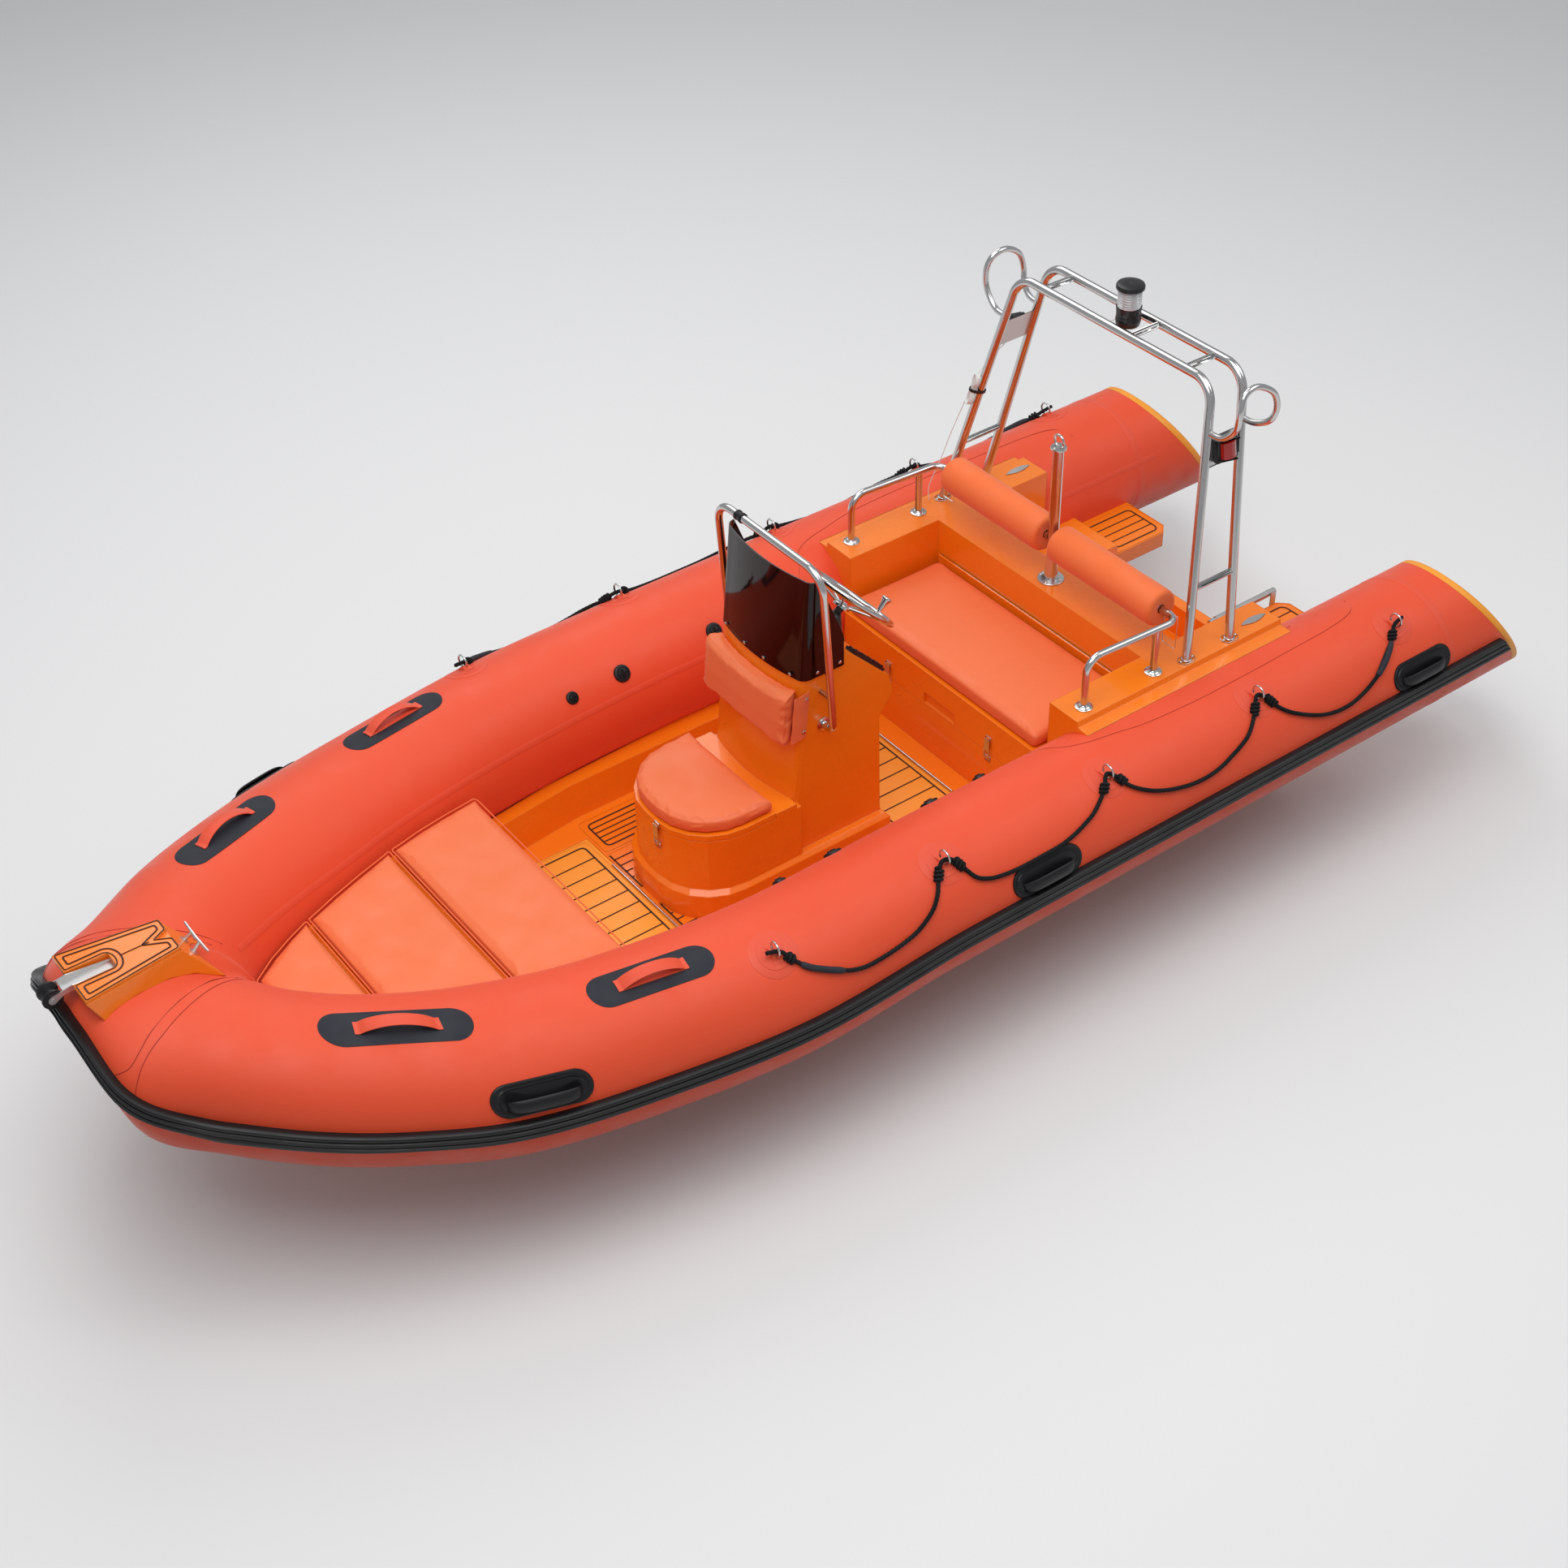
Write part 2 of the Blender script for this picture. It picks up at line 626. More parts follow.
def rod(name, start, end, radius, sides, material_name, end_radius=None):
    """Make a cylinder, or a cone where an end radius is given, between two points."""
    start, end = Vector(start), Vector(end)
    axis = (end - start).normalized()
    across = axis.orthogonal().normalized()
    up = axis.cross(across)
    far = radius if end_radius is None else end_radius
    rings = [circle(start, across, up, radius, sides), circle(end, across, up, far, sides)]
    return loft(name, rings, material_name)


def sweep(name, points, radius, sides, material_name):
    """Sweep a circle along points, square to the path at each one."""
    path = [Vector(point) for point in points]
    rings = []
    across = None
    for index, point in enumerate(path):
        before = path[max(index - 1, 0)]
        after = path[min(index + 1, len(path) - 1)]
        along = (after - before).normalized()
        if across is None:
            across = along.orthogonal()
        across = (across - along * across.dot(along)).normalized()
        up = along.cross(across)
        rings.append(circle(point, across, up, radius, sides))
    return loft(name, rings, material_name)


def torus(name, major, minor, turns, sides, material_name):
    """Make a ring round Z at the origin."""
    shape = bmesh.new()
    rows = []
    for turn in range(turns):
        angle = math.tau * turn / turns
        outward = Vector((math.cos(angle), math.sin(angle), 0))
        ring = circle(outward * major, outward, Vector((0, 0, 1)), minor, sides)
        rows.append([shape.verts.new(point) for point in ring])
    for turn in range(turns):
        low, high = rows[turn], rows[(turn + 1) % turns]
        for index in range(sides):
            after = (index + 1) % sides
            shape.faces.new((low[index], low[after], high[after], high[index]))
    return finish(name, shape, material_name)


def turned(name, profile, steps, material_name):
    """Turn a profile of (radius, height) pairs round Z, closed by flat ends."""
    up = Vector((0, 0, 1))
    rings = [circle(up * height, Vector((1, 0, 0)), Vector((0, 1, 0)), radius, steps)
             for radius, height in profile]
    return loft(name, rings, material_name)


def bent_path(corners, bends, steps=BEND_STEPS):
    """Round each inner corner of a path with an arc of its bend radius."""
    corners = [Vector(corner) for corner in corners]
    path = [corners[0]]
    for index in range(1, len(corners) - 1):
        corner = corners[index]
        back = (corners[index - 1] - corner).normalized()
        ahead = (corners[index + 1] - corner).normalized()
        turn = math.pi - back.angle(ahead)
        reach = bends[index - 1] * math.tan(turn / 2)
        centre = corner + (back + ahead).normalized() * (bends[index - 1] / math.cos(turn / 2))
        start = corner + back * reach - centre
        axis = (-back).cross(ahead).normalized()
        for step in range(steps + 1):
            path.append(centre + Matrix.Rotation(turn * step / steps, 3, axis) @ start)
    path.append(corners[-1])
    return path


def smooth_path(points, count):
    """Read evenly spread points from a smooth curve through the given points."""
    points = [Vector(point) for point in points]
    ends = [points[0] * 2 - points[1]] + points + [points[-1] * 2 - points[-2]]
    dense = []
    fine = 8
    for index in range(1, len(ends) - 2):
        for step in range(fine):
            dense.append(spline(ends[index - 1:index + 3], step / fine))
    dense.append(points[-1])
    lengths = [0]
    for low, high in zip(dense, dense[1:]):
        lengths.append(lengths[-1] + (high - low).length)
    path = []
    place = 0
    for index in range(count):
        target = lengths[-1] * index / (count - 1)
        while place < len(dense) - 2 and lengths[place + 1] < target:
            place += 1
        span = lengths[place + 1] - lengths[place]
        path.append(dense[place].lerp(dense[place + 1], (target - lengths[place]) / span))
    return path


def spline(four, share):
    """Catmull-Rom curve between the middle two of four vectors or numbers."""
    before, start, end, after = four
    return (start * 2 + (end - before) * share
            + (before * 2 - start * 5 + end * 4 - after) * share ** 2
            + (start * 3 - before - end * 3 + after) * share ** 3) / 2


def boolean(target, tool, operation, keep_tool=False):
    """Apply one exact Boolean to the target and remove the tool."""
    step = target.modifiers.new(operation.lower(), "BOOLEAN")
    step.operation = operation
    step.solver = "EXACT"
    step.object = tool
    bpy.context.view_layer.update()
    graph = bpy.context.evaluated_depsgraph_get()
    result = bpy.data.meshes.new_from_object(target.evaluated_get(graph))
    own = target.data.materials[0]
    target.modifiers.clear()
    target.data = result
    result.materials.clear()
    result.materials.append(own)
    result.shade_smooth()
    result.set_sharp_from_angle(angle=SHARP_ANGLE)
    if not keep_tool:
        bpy.data.objects.remove(tool, do_unlink=True)
    return target


def cut(target, *tools):
    """Take the tools out of the target."""
    for tool in tools:
        boolean(target, tool, "DIFFERENCE")
    return target


def cut_keeping(target, tool):
    """Take a shared cutter out of the target and keep the cutter."""
    return boolean(target, tool, "DIFFERENCE", keep_tool=True)


def unite(target, *tools):
    """Join the tools to the target as one body."""
    for tool in tools:
        boolean(target, tool, "UNION")
    return target


def set_origin(target, place):
    """Move an object's origin without moving its mesh."""
    place = Vector(place)
    target.data.transform(Matrix.Translation(target.location - place))
    target.location = place
    return target


def place_frame(target, place, across, out):
    """Set an object's local X and Z directions and its origin in the boat."""
    out = Vector(out).normalized()
    across = Vector(across).normalized()
    side = out.cross(across)
    turn = Matrix((across, side, out)).transposed()
    target.rotation_euler = turn.to_euler()
    target.location = Vector(place)
    bpy.context.view_layer.update()
    return target


class Station:
    """One section of the collar: its centre, outward direction, half width and fullness."""

    def __init__(self, outer, inner, height, fullness, turn, lean):
        self.centre = Vector(((outer[0] + inner[0]) / 2, (outer[1] + inner[1]) / 2, height))
        across = Vector((outer[0] - inner[0], outer[1] - inner[1], 0))
        self.half_width = across.length / 2
        self.outward = across.normalized()
        self.fullness = fullness
        self.turn = turn
        self.lean = lean

    def point(self, angle, lift, rake=0.0):
        """Point of the section at an angle above the outward side, lifted off the fabric."""
        power = 2 / self.fullness
        across = math.copysign(abs(math.cos(angle)) ** power, math.cos(angle))
        up = math.copysign(abs(math.sin(angle)) ** power, math.sin(angle)) * (TUBE_RADIUS + lift)
        place = self.centre + self.outward * (across * (self.half_width + lift) + up * self.lean)
        place.z += up
        place.x -= rake * up
        return place


def straight_station(x_place):
    """Section of the straight part of the collar."""
    return Station((x_place, OUTER_HALF), (x_place, INNER_HALF), TUBE_AXIS_Z, FULLNESS_ROUND, 0.0, 0.0)


def collar_stations():
    """Sections of the starboard half of the collar, from the nose to the straight part."""
    mirrored = tuple(-value if index in (1, 3) else value for index, value in enumerate(COLLAR_SHARES[1]))
    outer_x, inner_x = COLLAR_SHARES[-2][0], COLLAR_SHARES[-2][2]
    beyond = (2 - outer_x, 1, 2 - inner_x, 1, 0, 0, 0, 0)
    rows = [mirrored, *COLLAR_SHARES, beyond]
    stations = []
    for index, steps in enumerate(COLLAR_STEPS, 1):
        for step in range(steps):
            four = rows[index - 1:index + 3]
            stations.append(station_from([spline(column, step / steps) for column in zip(*four)]))
    stations.append(straight_station(STRAIGHT_X))
    return stations


def station_from(values):
    """Make a section from one row of shares."""
    out_x, out_y, in_x, in_y, rise, fullness, turn, lean = values
    outer = (NOSE_X + out_x * BOW_CURVE_LENGTH, out_y * OUTER_HALF)
    inner = (NOSE_X + in_x * BOW_CURVE_LENGTH, in_y * INNER_HALF)
    roundness = FULLNESS_ROUND + FULLNESS_EXTRA * max(fullness, 0)
    turn_angle = max(turn, 0) * STRAKE_NOSE_TURN
    return Station(outer, inner, TUBE_AXIS_Z + rise * BOW_RISE, roundness, turn_angle, lean * BOW_LEAN)


def station_at(x_place, stations):
    """Section of the starboard half whose centre is at a place along X."""
    if x_place >= STRAIGHT_X:
        return straight_station(x_place)
    for low, high in zip(stations, stations[1:]):
        if low.centre.x <= x_place <= high.centre.x:
            share = (x_place - low.centre.x) / (high.centre.x - low.centre.x)
            mixed = straight_station(x_place)
            mixed.centre = low.centre.lerp(high.centre, share)
            mixed.outward = low.outward.lerp(high.outward, share).normalized()
            mixed.half_width = low.half_width + (high.half_width - low.half_width) * share
            mixed.fullness = low.fullness + (high.fullness - low.fullness) * share
            mixed.lean = low.lean + (high.lean - low.lean) * share
            return mixed
    return stations[0]


def both_halves(half_rings):
    """Run rings from the starboard end round the bow to the port end."""
    mirrored = [[Vector((point.x, -point.y, point.z)) for point in ring] for ring in half_rings[1:]]
    return list(reversed(half_rings)) + mirrored


def collar_ring(station, lift, rake=0.0):
    """Ring of points round one section of the collar."""
    step = math.tau / COLLAR_SIDES
    return [station.point(STRAKE_LOW_ANGLE + step * index, lift, rake) for index in range(COLLAR_SIDES)]


def collar_cutter(stations):
    """Tool that leaves the seat of the collar: its surface moved out by the seat gap."""
    rings = [collar_ring(station, 0) for station in stations]
    rings.append(collar_ring(straight_station(HALF_LENGTH + CUT_OVERRUN), 0))
    tool = loft("collar_cutter", both_halves(rings), "collar_fabric", True)
    outward = [vertex.co + vertex.normal * COLLAR_GAP for vertex in tool.data.vertices]
    for vertex, place in zip(tool.data.vertices, outward):
        vertex.co = place
    tool.hide_render = True
    tool.display_type = "WIRE"
    return tool


def make_collar(stations):
    """Inflated collar with its rings, moulded handles and lifting straps."""
    rings = [collar_ring(station, 0) for station in stations]
    rings.append(collar_ring(straight_station(TUBE_END_X), 0, TUBE_END_RAKE))
    collar = loft("tube_collar", both_halves(rings), "collar_fabric", True)
    for side in (-1, 1):
        for setback in RING_SETBACKS:
            add_line_ring(collar, station_at(STERN_X - setback, stations), side)
        for setback, angle in HANDLE_PLACES:
            add_moulded_handle(collar, station_at(STERN_X - setback, stations), side, angle)
        for setback, angle in STRAP_PLACES:
            add_strap(collar, station_at(STERN_X - setback, stations), side, angle)
        for setback, radius in VALVE_PLACES:
            add_valve(collar, station_at(STERN_X - setback, stations), side, radius)
    return collar


def surface_frame(station, angle, side, lift=0.0):
    """Place on the collar, the direction along it aft and the direction out of it."""
    place = station.point(angle, lift)
    out = (station.point(angle, TUBE_RADIUS) - place).normalized()
    along = Vector((0, 0, 1)).cross(station.outward)
    along = along if along.x > 0 else -along
    along = (along - out * along.dot(out)).normalized()
    if side < 0:
        place, out, along = (Vector((v.x, -v.y, v.z)) for v in (place, out, along))
    return place, along, out


def add_line_ring(collar, station, side):
    """Steel ring on edge in its webbing loop, for the grab line to run through."""
    place, along, out = surface_frame(station, RING_ANGLE, side)
    ring = torus("line_ring", RING_RADIUS, RING_BAR, RING_TURNS, RING_BAR_SIDES, "stainless")
    place_frame(ring, place + out * (RING_RADIUS + WEB_HEIGHT - RING_BAR * 2), out, along)
    half = WEB_WIDTH / 2
    web = box("web", (-half, -half, -SINK), (half, half, WEB_HEIGHT), "collar_fabric")
    place_frame(web, place, along, out)
    unite(collar, web, ring)


def oblong(half_length, half_height, steps=3):
    """Outline with round ends, in two directions."""
    points = []
    straight = half_length - half_height
    for end in (1, -1):
        for step in range(steps + 1):
            angle = math.pi * (2 * step - steps) / (2 * steps)
            across = straight + half_height * math.cos(angle)
            points.append((end * across, end * half_height * math.sin(angle)))
    return points


def add_moulded_handle(collar, station, side, angle):
    """Rubber lifting handle: an oblong pad with a raised cup that opens upwards."""
    place, along, out = surface_frame(station, angle, side)
    pad_ring = oblong(HANDLE_LENGTH / 2, HANDLE_HEIGHT / 2)
    cup_ring = oblong(HANDLE_LENGTH / 2 * HANDLE_CUP_SHARE, HANDLE_HEIGHT / 2 * HANDLE_CUP_SHARE)
    slot_x, slot_y = HANDLE_SLOT_SHARES
    slot_ring = oblong(HANDLE_LENGTH / 2 * slot_x, HANDLE_HEIGHT / 2 * slot_y)
    deep = -HANDLE_HEIGHT ** 2 / TUBE_RADIUS / 8 - SINK
    pad = loft("pad", [[(x, y, z) for x, y in pad_ring] for z in (deep, HANDLE_PAD)], "rubber")
    cup = loft("cup", [[(x * share, y * share, z) for x, y in cup_ring]
                       for z, share in ((0, 1), (HANDLE_CUP, HANDLE_CUP_SHARE))], "rubber")
    slot = loft("slot", [[(x, y, z) for x, y in slot_ring] for z in (HANDLE_PAD, HANDLE_CUP * 2)], "rubber")
    for tool in (pad, cup, slot):
        place_frame(tool, place, along, out)
    unite(collar, pad, cup)
    cut(collar, slot)


def add_valve(collar, station, side, radius):
    """Round inflation valve on the inboard side of the tube."""
    place, along, out = surface_frame(station, VALVE_ANGLE, side)
    profile = ((radius, -SINK), (radius, VALVE_HEIGHT / 2), (VALVE_CAP_SHARE * radius, VALVE_HEIGHT))
    unite(collar, place_frame(turned("valve", profile, VALVE_SIDES, "rubber"), place, along, out))


def add_strap(collar, station, side, angle):
    """Webbing strap that arches over its patch."""
    place, along, out = surface_frame(station, angle, side)
    half = STRAP_WIDTH / 2
    rings = []
    for step in range(STRAP_STEPS + 1):
        share = step / STRAP_STEPS
        x_place = STRAP_LENGTH * (2 * share - 1) / 2
        height = STRAP_ARCH * math.sin(math.pi * share) - SINK
        rings.append([(x_place, -half, height), (x_place, half, height),
                      (x_place, half, height + STRAP_THICKNESS + SINK),
                      (x_place, -half, height + STRAP_THICKNESS + SINK)])
    strap = loft("strap", rings, "collar_fabric")
    place_frame(strap, place, along, out)
    unite(collar, strap)


def make_end_caps(stations):
    """Dished cap on the raked end of each tube."""
    end = straight_station(TUBE_END_X)
    ring = [point - end.centre for point in collar_ring(end, 0, TUBE_END_RAKE)]
    for name, side in (("tube_end_cap_port", -1), ("tube_end_cap_stbd", 1)):
        layers = [(1.0, SEAT_GAP), (1.0, CAP_RIM)]
        layers += [(share, CAP_RIM + CAP_BULGE * rise) for share, rise in CAP_INSET_SHARES]
        rings = []
        for share, reach in layers:
            rings.append([Vector((end.centre.x + point.x * share + reach,
                                  side * (end.centre.y + point.y * share),
                                  end.centre.z + point.z * share)) for point in ring])
        loft(name, rings, "gelcoat_tread")


def strake_body(name, stations, grow):
    """Body of the strake, grown by a clearance."""
    spread = grow / TUBE_RADIUS
    half_rings = []
    for station in stations + [straight_station(TUBE_END_X - STRAKE_END_SETBACK)]:
        low = STRAKE_LOW_ANGLE + station.turn
        profile = [(low - spread, -SINK)]
        for share, depth in STRAKE_PROFILE_SHARES:
            profile.append((low - spread + (STRAKE_SPAN + spread * 2) * share, STRAKE_DEPTH * depth + grow))
        profile.append((low + STRAKE_SPAN + spread, -SINK))
        rake = TUBE_END_RAKE if station.centre.x > STRAIGHT_X else 0.0
        half_rings.append([station.point(angle, lift, rake) for angle, lift in profile])
    return loft(name, both_halves(half_rings), "rubber")


def make_strake(stations, cutter):
    """Three-ribbed rubber strake from stern to stern, which climbs to the nose."""
    return cut_keeping(strake_body("rub_strake", stations, 0), cutter)


def hull_values(share):
    """Half width and heights of keel, chine and joint at a share of the hull's length."""
    for low, high in zip(HULL_SHARES, HULL_SHARES[1:]):
        if low[0] <= share <= high[0]:
            mix = (share - low[0]) / (high[0] - low[0])
            width, keel, chine, joint = (a + (b - a) * mix for a, b in zip(low[1:], high[1:]))
            return width * HULL_HALF, keel * JOINT_Z, chine * JOINT_Z, joint * JOINT_Z
    raise ValueError("share outside the hull")


def hull_share(x_place):
    """Share of the hull's length at a place along X."""
    return (x_place - STEM_X) / HULL_LENGTH


def hull_x(share):
    """Place along X at a share of the hull's length."""
    return STEM_X + share * HULL_LENGTH


def make_hull(cutter):
    """Deep-V shell with a keel pad, spray rails and transom, open under the deck."""
    rings = []
    for row in HULL_SHARES:
        width, keel, chine, joint = hull_values(row[0])
        pad = min(KEEL_PAD_HALF, width * KEEL_PAD_SHARE)
        rail = min(SPRAY_RAIL, width * SPRAY_RAIL_SHARE)
        middle = (width + pad) / 2
        level = (keel + chine) / 2
        half = [(pad, keel), (middle, level), (middle + rail, level), (width, chine), (width, joint)]
        outline = half + [(-y, z) for y, z in reversed(half)]
        rings.append([(hull_x(row[0]), y, z) for y, z in outline])
    hull = loft("hull", rings, "gelcoat")
    inner = []
    last = 1 - TRANSOM_THICK / HULL_LENGTH
    between = [row[0] for row in HULL_SHARES if CAVITY_START_SHARE < row[0] < last]
    shares = [CAVITY_START_SHARE, *between, last]
    for share in shares:
        width, keel, chine, joint = hull_values(share)
        half = [(KEEL_PAD_HALF / 2, keel + HULL_BOTTOM), (width - HULL_SKIN, chine + HULL_SKIN / 2),
                (width - HULL_SKIN, joint + CUT_OVERRUN)]
        outline = half + [(-y, z) for y, z in reversed(half)]
        inner.append([(hull_x(share), y, z) for y, z in outline])
    cut(hull, loft("cavity", inner, "gelcoat"))
    return cut_keeping(hull, cutter)


def deck_block(name, shares, lift, top_of):
    """Block on the hull's joint that follows its plan, up to a height given along X."""
    rings = []
    for share in shares:
        width, keel, chine, joint = hull_values(share)
        x_place = hull_x(share)
        top = top_of(x_place)
        rings.append([(x_place, -width, joint + lift), (x_place, width, joint + lift),
                      (x_place, width, top), (x_place, -width, top)])
    return loft(name, rings, "gelcoat")


def locker_top(x_place):
    """Height of the bow locker's sloping top."""
    share = (LOCKER_X - x_place) / (LOCKER_X - STEM_X)
    return LOCKER_TOP_AFT_Z + (LOCKER_TOP_FORE_Z - LOCKER_TOP_AFT_Z) * share


def cockpit_ring(half_extra, height):
    """Plan of the cockpit at one height, from the locker to past the transom."""
    aft = TRANSOM_X + CUT_OVERRUN
    narrow = COCKPIT_HALF_FORE + half_extra
    wide = COCKPIT_HALF_AFT + half_extra
    knee = SEAT_FRONT_X
    return [(LOCKER_X, -narrow, height), (knee, -wide, height), (aft, -wide, height),
            (aft, wide, height), (knee, wide, height), (LOCKER_X, narrow, height)]


def hatch_edges():
    """After edges of the two floor hatches."""
    return {"floor_hatch_fore": HATCH_FORE_AFT_EDGE, "floor_hatch_aft": BENCH_X - HATCH_AFT_FROM_BENCH}


def make_deck(cutter):
    """Deck moulding: floor with hatch seats, coamings, bow locker and the seat of the collar."""
    split = hull_share(LOCKER_X)
    lap = CUT_OVERRUN / HULL_LENGTH
    fore = [row[0] for row in HULL_SHARES if row[0] < split] + [split]
    aft = [split - lap] + [row[0] for row in HULL_SHARES if row[0] > split + lap]
    deck = deck_block("deck_moulding", aft, SEAT_GAP, lambda x_place: COAMING_TOP_Z)
    unite(deck, deck_block("locker", fore, SEAT_GAP, locker_top))
    rise = COAMING_TOP_Z + CUT_OVERRUN
    draft = COCKPIT_DRAFT * (rise - FLOOR_Z) / (COAMING_TOP_Z - FLOOR_Z)
    cut(deck, loft("cockpit", [cockpit_ring(0, FLOOR_Z), cockpit_ring(draft, rise)], "gelcoat"))
    for edge in hatch_edges().values():
        seat_low = FLOOR_Z - HATCH_THICK - SEAT_GAP
        seat = box("seat", (edge - HATCH_LENGTH - HATCH_CLEAR, -HATCH_HALF - HATCH_CLEAR, seat_low),
                   (edge + HATCH_CLEAR, HATCH_HALF + HATCH_CLEAR, FLOOR_Z + CUT_OVERRUN), "gelcoat")
        hole = box("hole", (edge - HATCH_LENGTH + HATCH_LEDGE, HATCH_LEDGE - HATCH_HALF, JOINT_Z - CUT_OVERRUN),
                   (edge - HATCH_LEDGE, HATCH_HALF - HATCH_LEDGE, FLOOR_Z + CUT_OVERRUN), "gelcoat")
        cut(deck, seat, hole)
    return cut_keeping(deck, cutter)


def make_hatches():
    """Two floor hatches, each with its hinge bar along the after edge."""
    for name, edge in hatch_edges().items():
        low = (edge - HATCH_LENGTH, -HATCH_HALF, FLOOR_Z - HATCH_THICK)
        hatch = box(name, low, (edge, HATCH_HALF, FLOOR_Z), "gelcoat_tread")
        axis = (edge - HINGE_BAR, FLOOR_Z + HINGE_BAR / 2)
        bar = rod("bar", (axis[0], -HINGE_HALF, axis[1]), (axis[0], HINGE_HALF, axis[1]),
                  HINGE_BAR, TUBE_SIDES, "stainless")
        set_origin(unite(hatch, bar), (edge, 0, FLOOR_Z))


def cushion(name, outline, low, thick, crown, material_name="vinyl"):
    """Cushion over an outline of (x, y, base height) points, with drawn-in sides and a crowned top."""
    count = len(outline)
    middle = Vector((sum(p[0] for p in outline) / count, sum(p[1] for p in outline) / count,
                     sum(p[2] for p in outline) / count))
    rings = []
    for share, rise in CUSHION_SIDE_SHARES:
        rings.append([middle.lerp(Vector((x, y, z)), share) + Vector((0, 0, low + thick * rise + (z - middle.z)
                      * (1 - share))) for x, y, z in outline])
    for share, swell in CUSHION_CROWN_SHARES:
        lift = Vector((0, 0, low + thick + crown * swell))
        rings.append([middle.lerp(Vector((x, y, z)), share) + lift for x, y, z in outline])
    return loft(name, rings, material_name)


def inner_half_at(x_place, stations):
    """Half width between the tubes at a place along X, at cushion height."""
    if x_place >= STRAIGHT_X:
        return INNER_HALF
    inner = [station.point(math.pi, 0) for station in stations]
    for low, high in zip(inner, inner[1:]):
        if low.x <= x_place <= high.x:
            return low.y + (high.y - low.y) * (x_place - low.x) / (high.x - low.x)
    return 0


def make_bow_cushions(stations, cutter):
    """Three cushions that fill the space between the tubes on the bow locker."""
    names = ("bow_cushion_fore", "bow_cushion_mid", "bow_cushion_aft")
    for name, near, far in zip(names, BOW_CUSHION_SETBACKS, BOW_CUSHION_SETBACKS[1:]):
        fore, aft = BOW_X + near, BOW_X + far - CUSHION_GAP
        half = []
        for step in range(BOW_CUSHION_STEPS + 1):
            x_place = fore + (aft - fore) * step / BOW_CUSHION_STEPS
            width = max(inner_half_at(x_place, stations) - CUSHION_SIDE_CLEAR, CUSHION_SIDE_CLEAR)
            half.append((x_place, width, locker_top(x_place)))
        outline = half + [(x, -y, z) for x, y, z in reversed(half)]
        cut_keeping(cushion(name, outline, SEAT_GAP, CUSHION_THICK, CUSHION_CROWN), cutter)


def make_bow_step(stations, cutter):
    """Laminate step over the nose: a notched tread plate on a base splayed down to the tube."""
    front_x = BOW_X + STEP_FRONT_SETBACK
    rear_x = front_x + STEP_LENGTH
    seam = STEP_TOP_Z - STEP_RIM
    low = STEP_TOP_Z - STEP_DROP
    foot = [(front_x + STEP_FRONT_RUN, STEP_FRONT_HALF + STEP_FLARE),
            (rear_x + STEP_APRON_RUN, STEP_REAR_HALF + STEP_REAR_FLARE)]
    head = [(front_x, STEP_FRONT_HALF + STEP_RIM_LIP), (rear_x, STEP_REAR_HALF + STEP_RIM_LIP)]
    rings = []
    for half, height in ((foot, low), (head, seam)):
        rings.append([(x, y, height) for x, y in half + [(x, -y) for x, y in reversed(half)]])
    step = loft("bow_step", rings, "gelcoat_tread")
    half = [(front_x, STEP_FRONT_HALF), (rear_x, STEP_REAR_HALF), (rear_x, NOTCH_HALF)]
    plate = half + [(rear_x - NOTCH_DEPTH, 0)] + [(x, -y) for x, y in reversed(half)]
    unite(step, prism_z("plate", plate, seam - SINK, STEP_TOP_Z, "gelcoat_tread"))
    slot = box("slot", (front_x - CUT_OVERRUN, -SLOT_HALF, STEP_TOP_Z - SLOT_DEPTH),
               (front_x + SLOT_LENGTH, SLOT_HALF, STEP_TOP_Z + CUT_OVERRUN), "gelcoat")
    cut(step, slot, strake_body("strake_room", stations, COLLAR_GAP))
    return cut_keeping(step, cutter)


